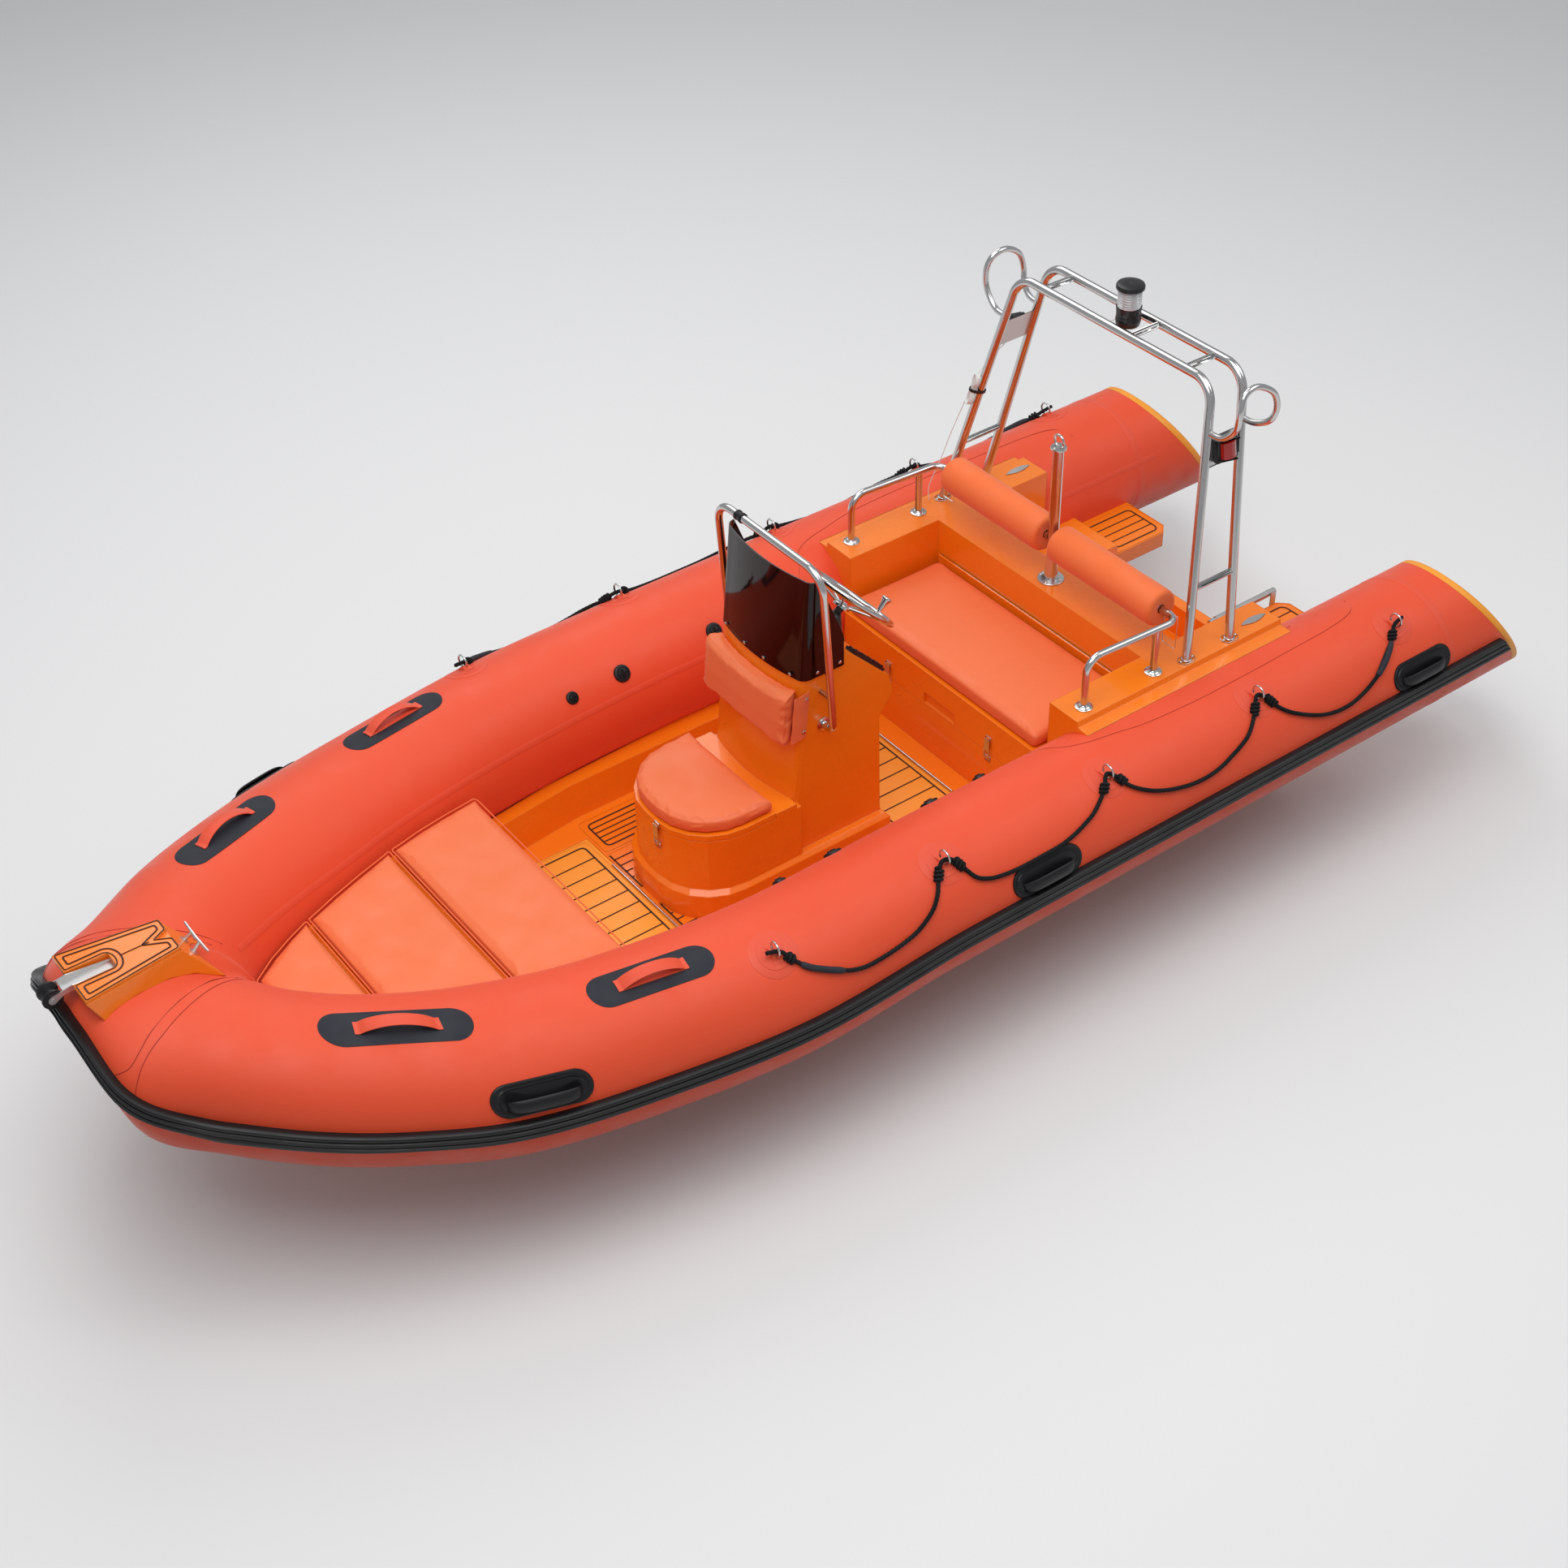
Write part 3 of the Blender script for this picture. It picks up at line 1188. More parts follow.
def make_bow_roller():
    """Channel bracket in the step's slot, its pin, and the rubber roller on the pin."""
    front_x = BOW_X + STEP_FRONT_SETBACK
    floor = STEP_TOP_Z - SLOT_DEPTH + SEAT_GAP
    axis = Vector((BOW_X + ROLLER_FLANGE, 0, STEP_TOP_Z - ROLLER_DROP))
    aft = front_x + SLOT_LENGTH - SEAT_GAP
    clear_x = axis.x + ROLLER_FLANGE + ROLLER_CLEAR * 4
    bracket = box("bow_roller_bracket", (clear_x, -BRACKET_HALF, floor),
                  (aft, BRACKET_HALF, floor + BRACKET_PLATE), "stainless")
    for side in (-1, 1):
        near, far = sorted((side * BRACKET_HALF, side * (BRACKET_HALF - BRACKET_PLATE)))
        outline = [(aft, floor), (aft, floor + BRACKET_PLATE * 2), (front_x, STEP_TOP_Z - BRACKET_PLATE)]
        for step in range(CHEEK_STEPS + 1):
            angle = math.pi * (step / CHEEK_STEPS + 1 / 2)
            outline.append((axis.x + CHEEK_RADIUS * math.cos(angle), axis.z + CHEEK_RADIUS * math.sin(angle)))
        outline.append((clear_x, floor))
        unite(bracket, prism_y("cheek", outline, near, far, "stainless"))
    pin_half = BRACKET_HALF + BRACKET_PLATE
    unite(bracket, rod("pin", axis - Vector((0, pin_half, 0)), axis + Vector((0, pin_half, 0)),
                       ROLLER_PIN, TUBE_SIDES, "stainless"))
    half = BRACKET_HALF - BRACKET_PLATE - ROLLER_CLEAR
    rim, core = (half * share for share in ROLLER_FLARE_SHARES)
    profile = ((ROLLER_FLANGE, -half), (ROLLER_FLANGE, -rim), (ROLLER_CORE, -core),
               (ROLLER_CORE, core), (ROLLER_FLANGE, rim), (ROLLER_FLANGE, half))
    roller = turned("bow_roller", profile, ROLLER_SIDES, "rubber")
    bore = turned("bore", ((ROLLER_PIN + ROLLER_CLEAR, -half - CUT_OVERRUN),
                           (ROLLER_PIN + ROLLER_CLEAR, half + CUT_OVERRUN)), TUBE_SIDES, "rubber")
    cut(roller, bore)
    return place_frame(roller, axis, (1, 0, 0), (0, 1, 0))


def make_bow_cleat():
    """Two-horn cleat, square to the slope behind the step's tread."""
    head = Vector((BOW_X + STEP_FRONT_SETBACK + STEP_LENGTH, 0, STEP_TOP_Z - STEP_RIM))
    foot = Vector((head.x + STEP_APRON_RUN, 0, STEP_TOP_Z - STEP_DROP))
    slope = (foot - head).normalized()
    out = slope.cross(Vector((0, -1, 0)))
    out = out if out.z > 0 else -out
    tip = CLEAT_HEIGHT + CLEAT_TIP
    cleat = rod("bow_cleat", (0, 0, CLEAT_HEIGHT), (0, CLEAT_HALF, tip), CLEAT_BAR, 8, "stainless", CLEAT_TIP)
    unite(cleat, rod("horn", (0, SINK, CLEAT_HEIGHT), (0, -CLEAT_HALF, tip), CLEAT_BAR, 8, "stainless",
                     CLEAT_TIP))
    for side in (-1, 1):
        base = (0, side * CLEAT_LEG_OFFSET, SEAT_GAP)
        plate = rod("foot", base, (0, side * CLEAT_LEG_OFFSET, CLEAT_FOOT_THICK), CLEAT_FOOT, 10, "stainless")
        leg = rod("leg", (0, side * CLEAT_LEG_OFFSET, CLEAT_FOOT_THICK / 2),
                  (0, side * CLEAT_LEG_TOP_OFFSET, CLEAT_HEIGHT), CLEAT_LEG, 8, "stainless")
        unite(cleat, plate, leg)
    return place_frame(cleat, head.lerp(foot, CLEAT_SLOPE_SHARE), slope, out)


def seat_outline(inset, rear_x, front_extra=0.0):
    """Plan of the console seat with its round front, drawn in by an inset."""
    half = SEAT_HALF - inset
    front = SEAT_FRONT_X + inset - front_extra
    radius = min(SEAT_CORNER, half * SEAT_CORNER_SHARE)
    points = [(rear_x, half)]
    for step in range(SEAT_CORNER_STEPS + 1):
        angle = math.pi / 2 * step / SEAT_CORNER_STEPS
        points.append((front + radius - radius * math.sin(angle), half - radius + radius * math.cos(angle)))
    return points + [(x, -y) for x, y in reversed(points)]


def console_face_x(height):
    """Place of the console's front face at a height."""
    share = (height - SEAT_SHELF_Z) / (CONSOLE_FACE_Z - SEAT_SHELF_Z)
    return CONSOLE_WALL_X + (CONSOLE_FACE_X - CONSOLE_WALL_X) * share


def face_curve(height, spread):
    """Starboard half of the console's curved front in plan, from the middle to the side."""
    face = console_face_x(height) - spread
    half = CONSOLE_HALF + spread
    corner = CONSOLE_CORNER + spread
    points = []
    for step in range(SCREEN_STEPS):
        share = step / SCREEN_STEPS
        points.append((face - CONSOLE_BULGE * (1 - share ** 2), (half - corner) * share))
    for step in range(SCREEN_STEPS):
        angle = math.pi / 2 * step / (SCREEN_STEPS - 1)
        points.append((face + corner - corner * math.cos(angle), half - corner + corner * math.sin(angle)))
    return points


def make_console():
    """Console body: seat locker in front, plinth, curved face, sloped helm panel and tucked rear."""
    low = FLOOR_Z + SEAT_GAP
    rings = []
    for height in (low, CONSOLE_TOP_Z):
        half = face_curve(height, 0) + [(CONSOLE_KNEE_X, CONSOLE_HALF)]
        outline = half + [(x, -y) for x, y in reversed(half) if y > 0]
        rings.append([(x, y, height) for x, y in outline])
    body = loft("console_body", rings, "gelcoat")
    far = CONSOLE_KNEE_X + CUT_OVERRUN
    rear = [(CONSOLE_REAR_X, low - CUT_OVERRUN), (CONSOLE_TUCK_X, CONSOLE_TUCK_Z),
            (CONSOLE_KNEE_X, CONSOLE_KNEE_Z), (HELM_LOW_X, HELM_LOW_Z), (HELM_TOP_X, CONSOLE_TOP_Z), (HELM_TOP_X, CONSOLE_TOP_Z + CUT_OVERRUN),
            (far, CONSOLE_TOP_Z + CUT_OVERRUN), (far, low - CUT_OVERRUN)]
    wide = CONSOLE_HALF + CUT_OVERRUN
    cut(body, prism_y("rear", rear, -wide, wide, "gelcoat"))
    seat = seat_outline(0, CONSOLE_WALL_X + CONSOLE_BULGE)
    unite(body, prism_z("seat", seat, low, SEAT_BODY_TOP_Z, "gelcoat"))
    aft = CONSOLE_WALL_X + SINK
    shelf = [(SEAT_REAR_X, -SEAT_HALF), (aft, -SEAT_HALF), (aft, SEAT_HALF), (SEAT_REAR_X, SEAT_HALF)]
    unite(body, prism_z("shelf", shelf, SEAT_BODY_TOP_Z - SINK, SEAT_SHELF_Z, "gelcoat"))
    plinth = seat_outline(-PLINTH_STEP, CONSOLE_REAR_X + PLINTH_STEP)
    top_ring = seat_outline(0, CONSOLE_REAR_X)
    unite(body, loft("plinth", [[(x, y, low) for x, y in plinth],
                                [(x, y, PLINTH_TOP_Z - PLINTH_STEP) for x, y in plinth],
                                [(x, y, PLINTH_TOP_Z) for x, y in top_ring]], "gelcoat"))
    locker = seat_outline(SEAT_WALL, SEAT_REAR_X - SEAT_WALL)
    cut(body, prism_z("locker", locker, low + SEAT_WALL, SEAT_SHELF_Z + CUT_OVERRUN, "gelcoat"))
    return body


def make_console_seat():
    """Hinged seat lid with its cushion."""
    rear = SEAT_REAR_X - LID_REAR_GAP
    low = SEAT_BODY_TOP_Z + SEAT_GAP
    lid = prism_z("console_seat_lid", seat_outline(0, rear), low, low + LID_THICK, "gelcoat")
    set_origin(lid, (rear, 0, low + LID_THICK))
    outline = [(x, y, 0) for x, y in seat_outline(0, rear)]
    pad = cushion("console_seat_cushion", outline, low + LID_THICK + SEAT_GAP, SEAT_CUSHION_THICK,
                  CUSHION_CROWN)
    set_origin(pad, (rear, 0, low + LID_THICK))
    return lid


def make_backrest():
    """Backrest cushion on the console's front face."""
    rows = []
    heights = (BACKREST_LOW_Z, BACKREST_LOW_Z + BACKREST_THICK / 4, (BACKREST_LOW_Z + BACKREST_TOP_Z) / 2,
               BACKREST_TOP_Z - BACKREST_THICK / 4, BACKREST_TOP_Z)
    for height, share in zip(heights, BACKREST_THICK_SHARES):
        flat = BACKREST_HALF - CONSOLE_CORNER
        back = [(x - SEAT_GAP, y) for x, y in face_curve(height, SEAT_GAP) if y <= flat]
        back.append((console_face_x(height) + CONSOLE_CORNER * BACKREST_REACH_SHARE - SEAT_GAP * 4,
                     CONSOLE_HALF - CONSOLE_CORNER / 2))
        front_x = console_face_x(height) - CONSOLE_BULGE - BACKREST_THICK * share
        front = [(front_x + CONSOLE_BULGE * deep, BACKREST_HALF * wide) for deep, wide in BACKREST_FRONT_SHARES]
        half = list(reversed(front)) + list(reversed(back[1:]))
        outline = half + [(back[0][0], 0)] + [(x, -y) for x, y in reversed(half) if y > 0]
        rows.append([(x, y, height) for x, y in outline])
    return loft("console_backrest", rows, "vinyl")


def make_screen():
    """Smoked screen wrapped round the console's front, lower on its wings."""
    curves = []
    for spread in (SEAT_GAP, SEAT_GAP + SCREEN_THICK):
        low = face_curve(SCREEN_LOW_Z, spread) + [(SCREEN_WING_X, CONSOLE_HALF + spread)]
        top = face_curve(SCREEN_TOP_Z, spread) + [(SCREEN_WING_X, CONSOLE_HALF + spread)]
        curves.append((low, top))
    rings = []
    last = len(curves[0][0]) - 1
    for index in range(last + 1):
        top_z = SCREEN_WING_Z if index == last else SCREEN_TOP_Z
        corners = []
        for low, top in curves:
            corners.append(((*low[index], SCREEN_LOW_Z), (*top[index], top_z)))
        (inner_low, inner_top), (outer_low, outer_top) = corners
        rings.append([Vector(point) for point in (inner_low, outer_low, outer_top, inner_top)])
    return loft("windscreen", both_halves(rings), "smoked_acrylic")


def make_console_rail():
    """Hand rail hoop round the screen, with stand-offs to the console's sides."""
    side = CONSOLE_HALF + SEAT_GAP
    half = [(RAIL_LOW_X, side, RAIL_LOW_Z), (RAIL_LOW_X, RAIL_HALF, RAIL_LOW_Z),
            (RAIL_TOP_X, RAIL_HALF, RAIL_TOP_Z)]
    corners = half + [(x, -y, z) for x, y, z in reversed(half)]
    bends = (RAIL_HOOK_BEND, RAIL_BEND, RAIL_BEND, RAIL_HOOK_BEND)
    rail = sweep("console_rail", bent_path(corners, bends), RAIL_TUBE, TUBE_SIDES, "stainless")
    share = (STANDOFF_Z - RAIL_LOW_Z) / (RAIL_TOP_Z - RAIL_LOW_Z)
    x_place = RAIL_LOW_X + (RAIL_TOP_X - RAIL_LOW_X) * share
    for direction in (-1, 1):
        unite(rail, rod("standoff", (x_place, direction * side, STANDOFF_Z),
                        (x_place, direction * RAIL_HALF, STANDOFF_Z), STANDOFF_TUBE, 8, "stainless"))
    unite(rail, rod("fitting", (RAIL_TOP_X, RING_FITTING_Y - RING_FITTING_HALF, RAIL_TOP_Z),
                    (RAIL_TOP_X, RING_FITTING_Y + RING_FITTING_HALF, RAIL_TOP_Z),
                    RAIL_TUBE + RING_FITTING_SWELL, 12, "rubber"))
    return rail


def helm_frame():
    """Centre of the helm panel, its direction down the slope and its direction out."""
    top = Vector((HELM_TOP_X, 0, CONSOLE_TOP_Z))
    low = Vector((HELM_LOW_X, 0, HELM_LOW_Z))
    down = (low - top).normalized()
    out = Vector((-down.z, 0, down.x))
    return (top + low) / 2, down, out


def make_helm():
    """Bezel and shaft on the helm panel, the spoked wheel and its spinner knob."""
    centre, down, out = helm_frame()
    profile = ((HELM_BEZEL, SEAT_GAP), (HELM_BEZEL, HELM_BEZEL_THICK * BEZEL_EDGE_SHARE),
               (HELM_BEZEL * BEZEL_TOP_SHARE, HELM_BEZEL_THICK),
               (HELM_SHAFT, HELM_BEZEL_THICK), (HELM_SHAFT, WHEEL_STANDOFF - SEAT_GAP))
    place_frame(turned("helm_bezel", profile, BEZEL_SIDES, "black_plastic"), centre, down, out)
    wheel = torus("steering_wheel", WHEEL_RADIUS, WHEEL_RIM, WHEEL_TURNS, WHEEL_RIM_SIDES, "stainless")
    wheel.data.transform(Matrix.Translation((0, 0, WHEEL_DISH)))
    hub = turned("hub", share_profile(HUB_PROFILE_SHARES, WHEEL_HUB, WHEEL_HUB_THICK), HUB_SIDES, "stainless")
    unite(wheel, hub)
    for index in range(WHEEL_SPOKES):
        angle = math.tau * index / WHEEL_SPOKES
        ray = Vector((math.cos(angle), math.sin(angle), 0))
        start = ray * WHEEL_HUB * WHEEL_SPOKE_ROOT_SHARE + Vector((0, 0, WHEEL_HUB_THICK / 2))
        unite(wheel, rod("spoke", start, ray * WHEEL_RADIUS + Vector((0, 0, WHEEL_DISH)),
                         WHEEL_SPOKE, SPOKE_SIDES, "stainless"))
    ray = Vector((math.cos(KNOB_ANGLE), math.sin(KNOB_ANGLE), 0)) * WHEEL_RADIUS
    stud_low = ray + Vector((0, 0, WHEEL_DISH))
    stud_top = stud_low + Vector((0, 0, WHEEL_RIM + KNOB_STUD_LENGTH))
    unite(wheel, rod("stud", stud_low, stud_top, KNOB_STUD, SPOKE_SIDES, "stainless"))
    hub_place = centre + out * WHEEL_STANDOFF
    place_frame(wheel, hub_place, down, out)
    knob_profile = share_profile(KNOB_PROFILE_SHARES, KNOB_RADIUS, KNOB_LENGTH)
    knob = turned("wheel_knob", knob_profile, HUB_SIDES, "stainless")
    side = out.cross(down)
    knob_place = hub_place + down * stud_top.x + side * stud_top.y + out * (stud_top.z + SEAT_GAP)
    place_frame(knob, knob_place, down, out)


def make_switches():
    """Strip of rocker switches down the port edge of the helm panel."""
    centre, down, out = helm_frame()
    side = out.cross(down)
    top = Vector((HELM_TOP_X, 0, CONSOLE_TOP_Z))
    low = Vector((HELM_LOW_X, 0, HELM_LOW_Z))
    strip_half = SWITCH_LENGTH / 2 + SWITCH_CLEAR + STRIP_EDGE
    lateral = -(CONSOLE_HALF - STRIP_SIDE_MARGIN - strip_half)
    base = top.lerp(low, STRIP_SLOPE_SHARE)
    base.y = lateral
    half = SWITCH_PITCH * SWITCH_COUNT / 2
    strip = box("switch_strip", (-half, -strip_half, SEAT_GAP), (half, strip_half, STRIP_THICK),
                "black_plastic")
    place_frame(strip, base, down, out)
    surface = STRIP_THICK
    for index in range(SWITCH_COUNT):
        shift = SWITCH_PITCH * (index - (SWITCH_COUNT - 1) / 2)
        width = SWITCH_WIDTH / 2
        length = SWITCH_LENGTH / 2
        pocket = box("pocket", (shift - width - SWITCH_SIDE_CLEAR, -length - SWITCH_CLEAR, STRIP_THICK / 5),
                     (shift + width + SWITCH_SIDE_CLEAR, length + SWITCH_CLEAR, STRIP_THICK * 2),
                     "black_plastic")
        place_frame(pocket, base, down, out)
        cut(strip, pocket)
        outline = [(-length, -SWITCH_SUNK * SWITCH_END_SHARE), (0, -SWITCH_SUNK),
                   (length, -SWITCH_SUNK * SWITCH_END_SHARE), (length, SWITCH_PROUD),
                   (0, SWITCH_PROUD * SWITCH_DISH_SHARE), (-length, SWITCH_PROUD)]
        rocker = loft(f"rocker_switch_{index + 1}", [[(x, y, z) for y, z in outline] for x in (-width, width)],
                      "black_plastic")
        place_frame(rocker, base + down * shift + out * surface, down, out)


def make_latch(name, place, facing):
    """Toggle latch: a plate and its draw loop, hung from a pin that lies along Y."""
    thick = LATCH_THICK / 2
    latch = box(name, (-thick, -LATCH_HALF, -LATCH_LEVER), (thick, LATCH_HALF, thick), "stainless")
    far = LATCH_LEVER + LATCH_LOOP
    for side in (-1, 1):
        low, high = sorted((side * LATCH_HALF, side * (LATCH_HALF - LATCH_THICK)))
        unite(latch, box("arm", (-thick, low, -far), (thick, high, SINK - LATCH_LEVER), "stainless"))
    unite(latch, box("end", (-thick, -LATCH_HALF, -far), (thick, LATCH_HALF, LATCH_THICK - far), "stainless"))
    latch.location = Vector(place) + facing * (LATCH_PROUD + thick)
    bpy.context.view_layer.update()
    return latch


def latch_base(place, facing):
    """Block that carries a latch's pin, to be joined to the panel behind it."""
    low, high = sorted((place.x - facing.x * SINK, place.x + facing.x * (LATCH_PROUD - LATCH_BASE_GAP)))
    return box("base", (low, place.y - LATCH_HALF + LATCH_EAR, place.z - LATCH_EAR),
               (high, place.y + LATCH_HALF - LATCH_EAR, place.z + LATCH_EAR), "stainless")


def latch_catch(place, facing):
    """Catch that a latch's loop draws on, to be joined to the panel below the seam."""
    low, high = sorted((place.x - facing.x * SINK, place.x + facing.x * CATCH_THICK))
    top = place.z - LATCH_LEVER - LATCH_LOOP + LATCH_THICK
    return box("catch", (low, place.y - LATCH_HALF, top - LATCH_HALF), (high, place.y + LATCH_HALF, top),
               "stainless")


def quarter_outline():
    """Section of a quarter over the tube: flat top, outer flange and inner wall."""
    return [(QUARTER_INNER, BENCH_TOP_Z - SINK), (QUARTER_INNER, QUARTER_TOP_Z),
            (QUARTER_OUTER, QUARTER_TOP_Z), (QUARTER_OUTER + QUARTER_FLANGE_DROP / 4, QUARTER_TOP_Z - QUARTER_FLANGE_DROP),
            (QUARTER_OUTER + QUARTER_FLANGE, QUARTER_TOP_Z - QUARTER_FLANGE_DROP * 1.2),
            (QUARTER_OUTER + QUARTER_FLANGE, TUBE_AXIS_Z + TUBE_RADIUS / 2)]


def pop_outline(spread):
    """Lens-shaped plan of a pull-up cleat, grown by a clearance."""
    half = POP_LENGTH / 2 + spread
    width = POP_WIDTH / 2 + spread
    points = []
    for side in (1, -1):
        for step in range(POP_STEPS):
            share = step / POP_STEPS
            x_place = side * half * (1 - 2 * share)
            points.append((x_place, side * width * (1 - (x_place / half) ** 2)))
    return points


def make_stern_moulding(cutter):
    """Bench box, back ledge, quarters, stern deck and engine well as one laminate."""
    low = FLOOR_Z + SEAT_GAP
    fit = COCKPIT_HALF_AFT - FIT_CLEAR
    wide = QUARTER_OUTER
    shoulder = COAMING_TOP_Z + SEAT_GAP
    moulding = box("stern_moulding", (BENCH_X, -fit, low), (TRANSOM_X, fit, shoulder + SINK), "gelcoat")
    bench = box("bench", (BENCH_X, -HULL_HALF, shoulder), (BENCH_WALL_X + SINK, HULL_HALF, BENCH_TOP_Z),
                "gelcoat")
    ledge = box("ledge", (BENCH_WALL_X, -wide, shoulder), (LEDGE_AFT_X, wide, QUARTER_TOP_Z), "gelcoat")
    deck = box("deck", (LEDGE_AFT_X - SINK, -HULL_HALF, shoulder), (TRANSOM_X, HULL_HALF, STERN_DECK_Z),
               "gelcoat")
    unite(moulding, bench, ledge, deck)
    for side in (-1, 1):
        outline = [(side * y, z) for y, z in quarter_outline()]
        unite(moulding, prism_x("quarter", outline, STERN_X - QUARTER_FRONT_SETBACK,
                                STERN_X - QUARTER_AFT_SETBACK, "gelcoat"))
    cut_keeping(moulding, cutter)
    inner = BENCH_X + BENCH_WALL
    locker = box("locker", (inner, BENCH_WALL - fit, low + BENCH_FLOOR),
                 (BENCH_WALL_X - BENCH_WALL, fit - BENCH_WALL, BENCH_TOP_Z + CUT_OVERRUN), "gelcoat")
    skirt_room = SKIRT_THICK + SEAT_GAP
    skirt = box("skirt", (BENCH_X - CUT_OVERRUN, -HULL_HALF, BENCH_SEAM_Z),
                (BENCH_X + skirt_room, HULL_HALF, BENCH_TOP_Z + SINK / 2), "gelcoat")
    well = box("well", (STERN_X - WELL_FRONT_SETBACK, -WELL_HALF, WELL_FLOOR_Z),
               (TRANSOM_X - TRANSOM_THICK, WELL_HALF, STERN_DECK_Z + CUT_OVERRUN), "gelcoat")
    notch = box("notch", (TRANSOM_X - TRANSOM_THICK - SINK, -WELL_HALF, TRANSOM_TOP_Z),
                (TRANSOM_X + CUT_OVERRUN, WELL_HALF, STERN_DECK_Z + CUT_OVERRUN), "gelcoat")
    cut(moulding, locker, skirt, well, notch)
    for side in (-1, 1):
        pop = Vector((STERN_X - POP_SETBACK, side * POP_Y, 0))
        outline = [(pop.x + x, pop.y + y) for x, y in pop_outline(POP_CLEAR)]
        pocket_low = QUARTER_TOP_Z + POP_PROUD - POP_THICK - SEAT_GAP
        cut(moulding, prism_z("pocket", outline, pocket_low, QUARTER_TOP_Z + CUT_OVERRUN, "gelcoat"))
        for offset in (-POP_STEM_SPACING / 2, POP_STEM_SPACING / 2):
            low_end = pop + Vector((offset, 0, pocket_low - POP_STEM_LENGTH - SEAT_GAP))
            cut(moulding, rod("stem_hole", low_end, pop + Vector((offset, 0, QUARTER_TOP_Z)),
                              POP_STEM + POP_STEM_CLEAR, POP_STEM_SIDES, "gelcoat"))
    for place, facing in bench_latches().values():
        unite(moulding, latch_catch(place, facing))
    return moulding


def bench_latches():
    """Pin place and facing of each bench latch."""
    height = BENCH_SEAM_Z + LATCH_ABOVE_SEAM
    facing = Vector((-1, 0, 0))
    return {"bench_latch_port": (Vector((BENCH_X, LATCH_PORT_Y, height)), facing),
            "bench_latch_stbd": (Vector((BENCH_X, LATCH_STBD_Y, height)), facing)}


def make_bench():
    """Bench lid with its front skirt and rear flange, its cushion and its two latches."""
    low = BENCH_TOP_Z + SEAT_GAP
    rear = BENCH_WALL_X - BENCH_LID_WALL_GAP
    hinge = Vector((rear - FLANGE_THICK / 2, 0, low + BENCH_LID_THICK + BENCH_CUSHION_THICK + HINGE_BAR))
    lid = box("bench_lid", (BENCH_X, -LID_HALF, low), (rear, LID_HALF, low + BENCH_LID_THICK), "gelcoat")
    seam = BENCH_SEAM_Z + SEAT_GAP
    unite(lid, box("skirt", (BENCH_X, -LID_HALF, seam), (BENCH_X + SKIRT_THICK, LID_HALF, low + SINK),
                   "gelcoat"))
    unite(lid, box("flange", (rear - FLANGE_THICK, -LID_HALF, low + SINK), (rear, LID_HALF, hinge.z),
                   "gelcoat"))
    unite(lid, rod("bar", (hinge.x, -LID_HALF, hinge.z), (hinge.x, LID_HALF, hinge.z),
                   HINGE_BAR, TUBE_SIDES, "stainless"))
    left, right = (LID_HALF * share * 2 for share in PULL_SHARES)
    pull_low = seam + PULL_ABOVE_SEAM
    cut(lid, box("pull", (BENCH_X - CUT_OVERRUN, left, pull_low),
                 (BENCH_X + PULL_DEPTH, right, pull_low + PULL_HEIGHT), "gelcoat"))
    for name, (pivot, facing) in bench_latches().items():
        unite(lid, latch_base(pivot, facing))
        make_latch(name, pivot, facing)
    set_origin(lid, hinge)
    half = LID_HALF
    aft = rear - FLANGE_THICK - SEAT_GAP
    outline = []
    for x, y in ((BENCH_X, -half), (aft, -half), (aft, half), (BENCH_X, half)):
        outline.append((x, y, 0))
    pad = cushion("bench_cushion", rounded(outline, CUSHION_THICK / 2), low + BENCH_LID_THICK + SEAT_GAP,
                  BENCH_CUSHION_THICK - CUSHION_CROWN, CUSHION_CROWN)
    set_origin(pad, hinge)


def rounded(outline, radius, steps=3):
    """Round the corners of a flat outline."""
    points = []
    count = len(outline)
    for index in range(count):
        corner = Vector(outline[index])
        back = (Vector(outline[index - 1]) - corner).normalized() * radius
        ahead = (Vector(outline[(index + 1) % count]) - corner).normalized() * radius
        for step in range(steps + 1):
            share = step / steps
            point = corner + back * (1 - share) ** 2 + ahead * share ** 2
            points.append(tuple(point))
    return points


def make_console_latch(body, lid):
    """Toggle latch on the edge of the console seat's lid, with its catch on the seat's front."""
    facing = Vector((-1, 0, 0))
    pivot = Vector((SEAT_FRONT_X, SEAT_LATCH_Y, SEAT_BODY_TOP_Z + SEAT_GAP + LID_THICK - SEAT_LATCH_DROP))
    unite(lid, latch_base(pivot, facing))
    unite(body, latch_catch(pivot, facing))
    return make_latch("console_latch", pivot, facing)


def make_platforms(cutter):
    """Swim platform on each side of the engine well, abaft the transom."""
    for name, side in (("swim_platform_port", -1), ("swim_platform_stbd", 1)):
        fore = TRANSOM_X + SEAT_GAP
        aft = fore + PLATFORM_LENGTH
        corner = PLATFORM_CORNER
        outer = HULL_HALF
        outline = [(fore, side * PLATFORM_INNER), (aft - corner, side * PLATFORM_INNER),
                   (aft, side * (PLATFORM_INNER + corner)), (aft, side * outer), (fore, side * outer)]
        platform = prism_z(name, outline, PLATFORM_TOP_Z - PLATFORM_THICK, PLATFORM_TOP_Z, "gelcoat_tread")
        cut_keeping(platform, cutter)


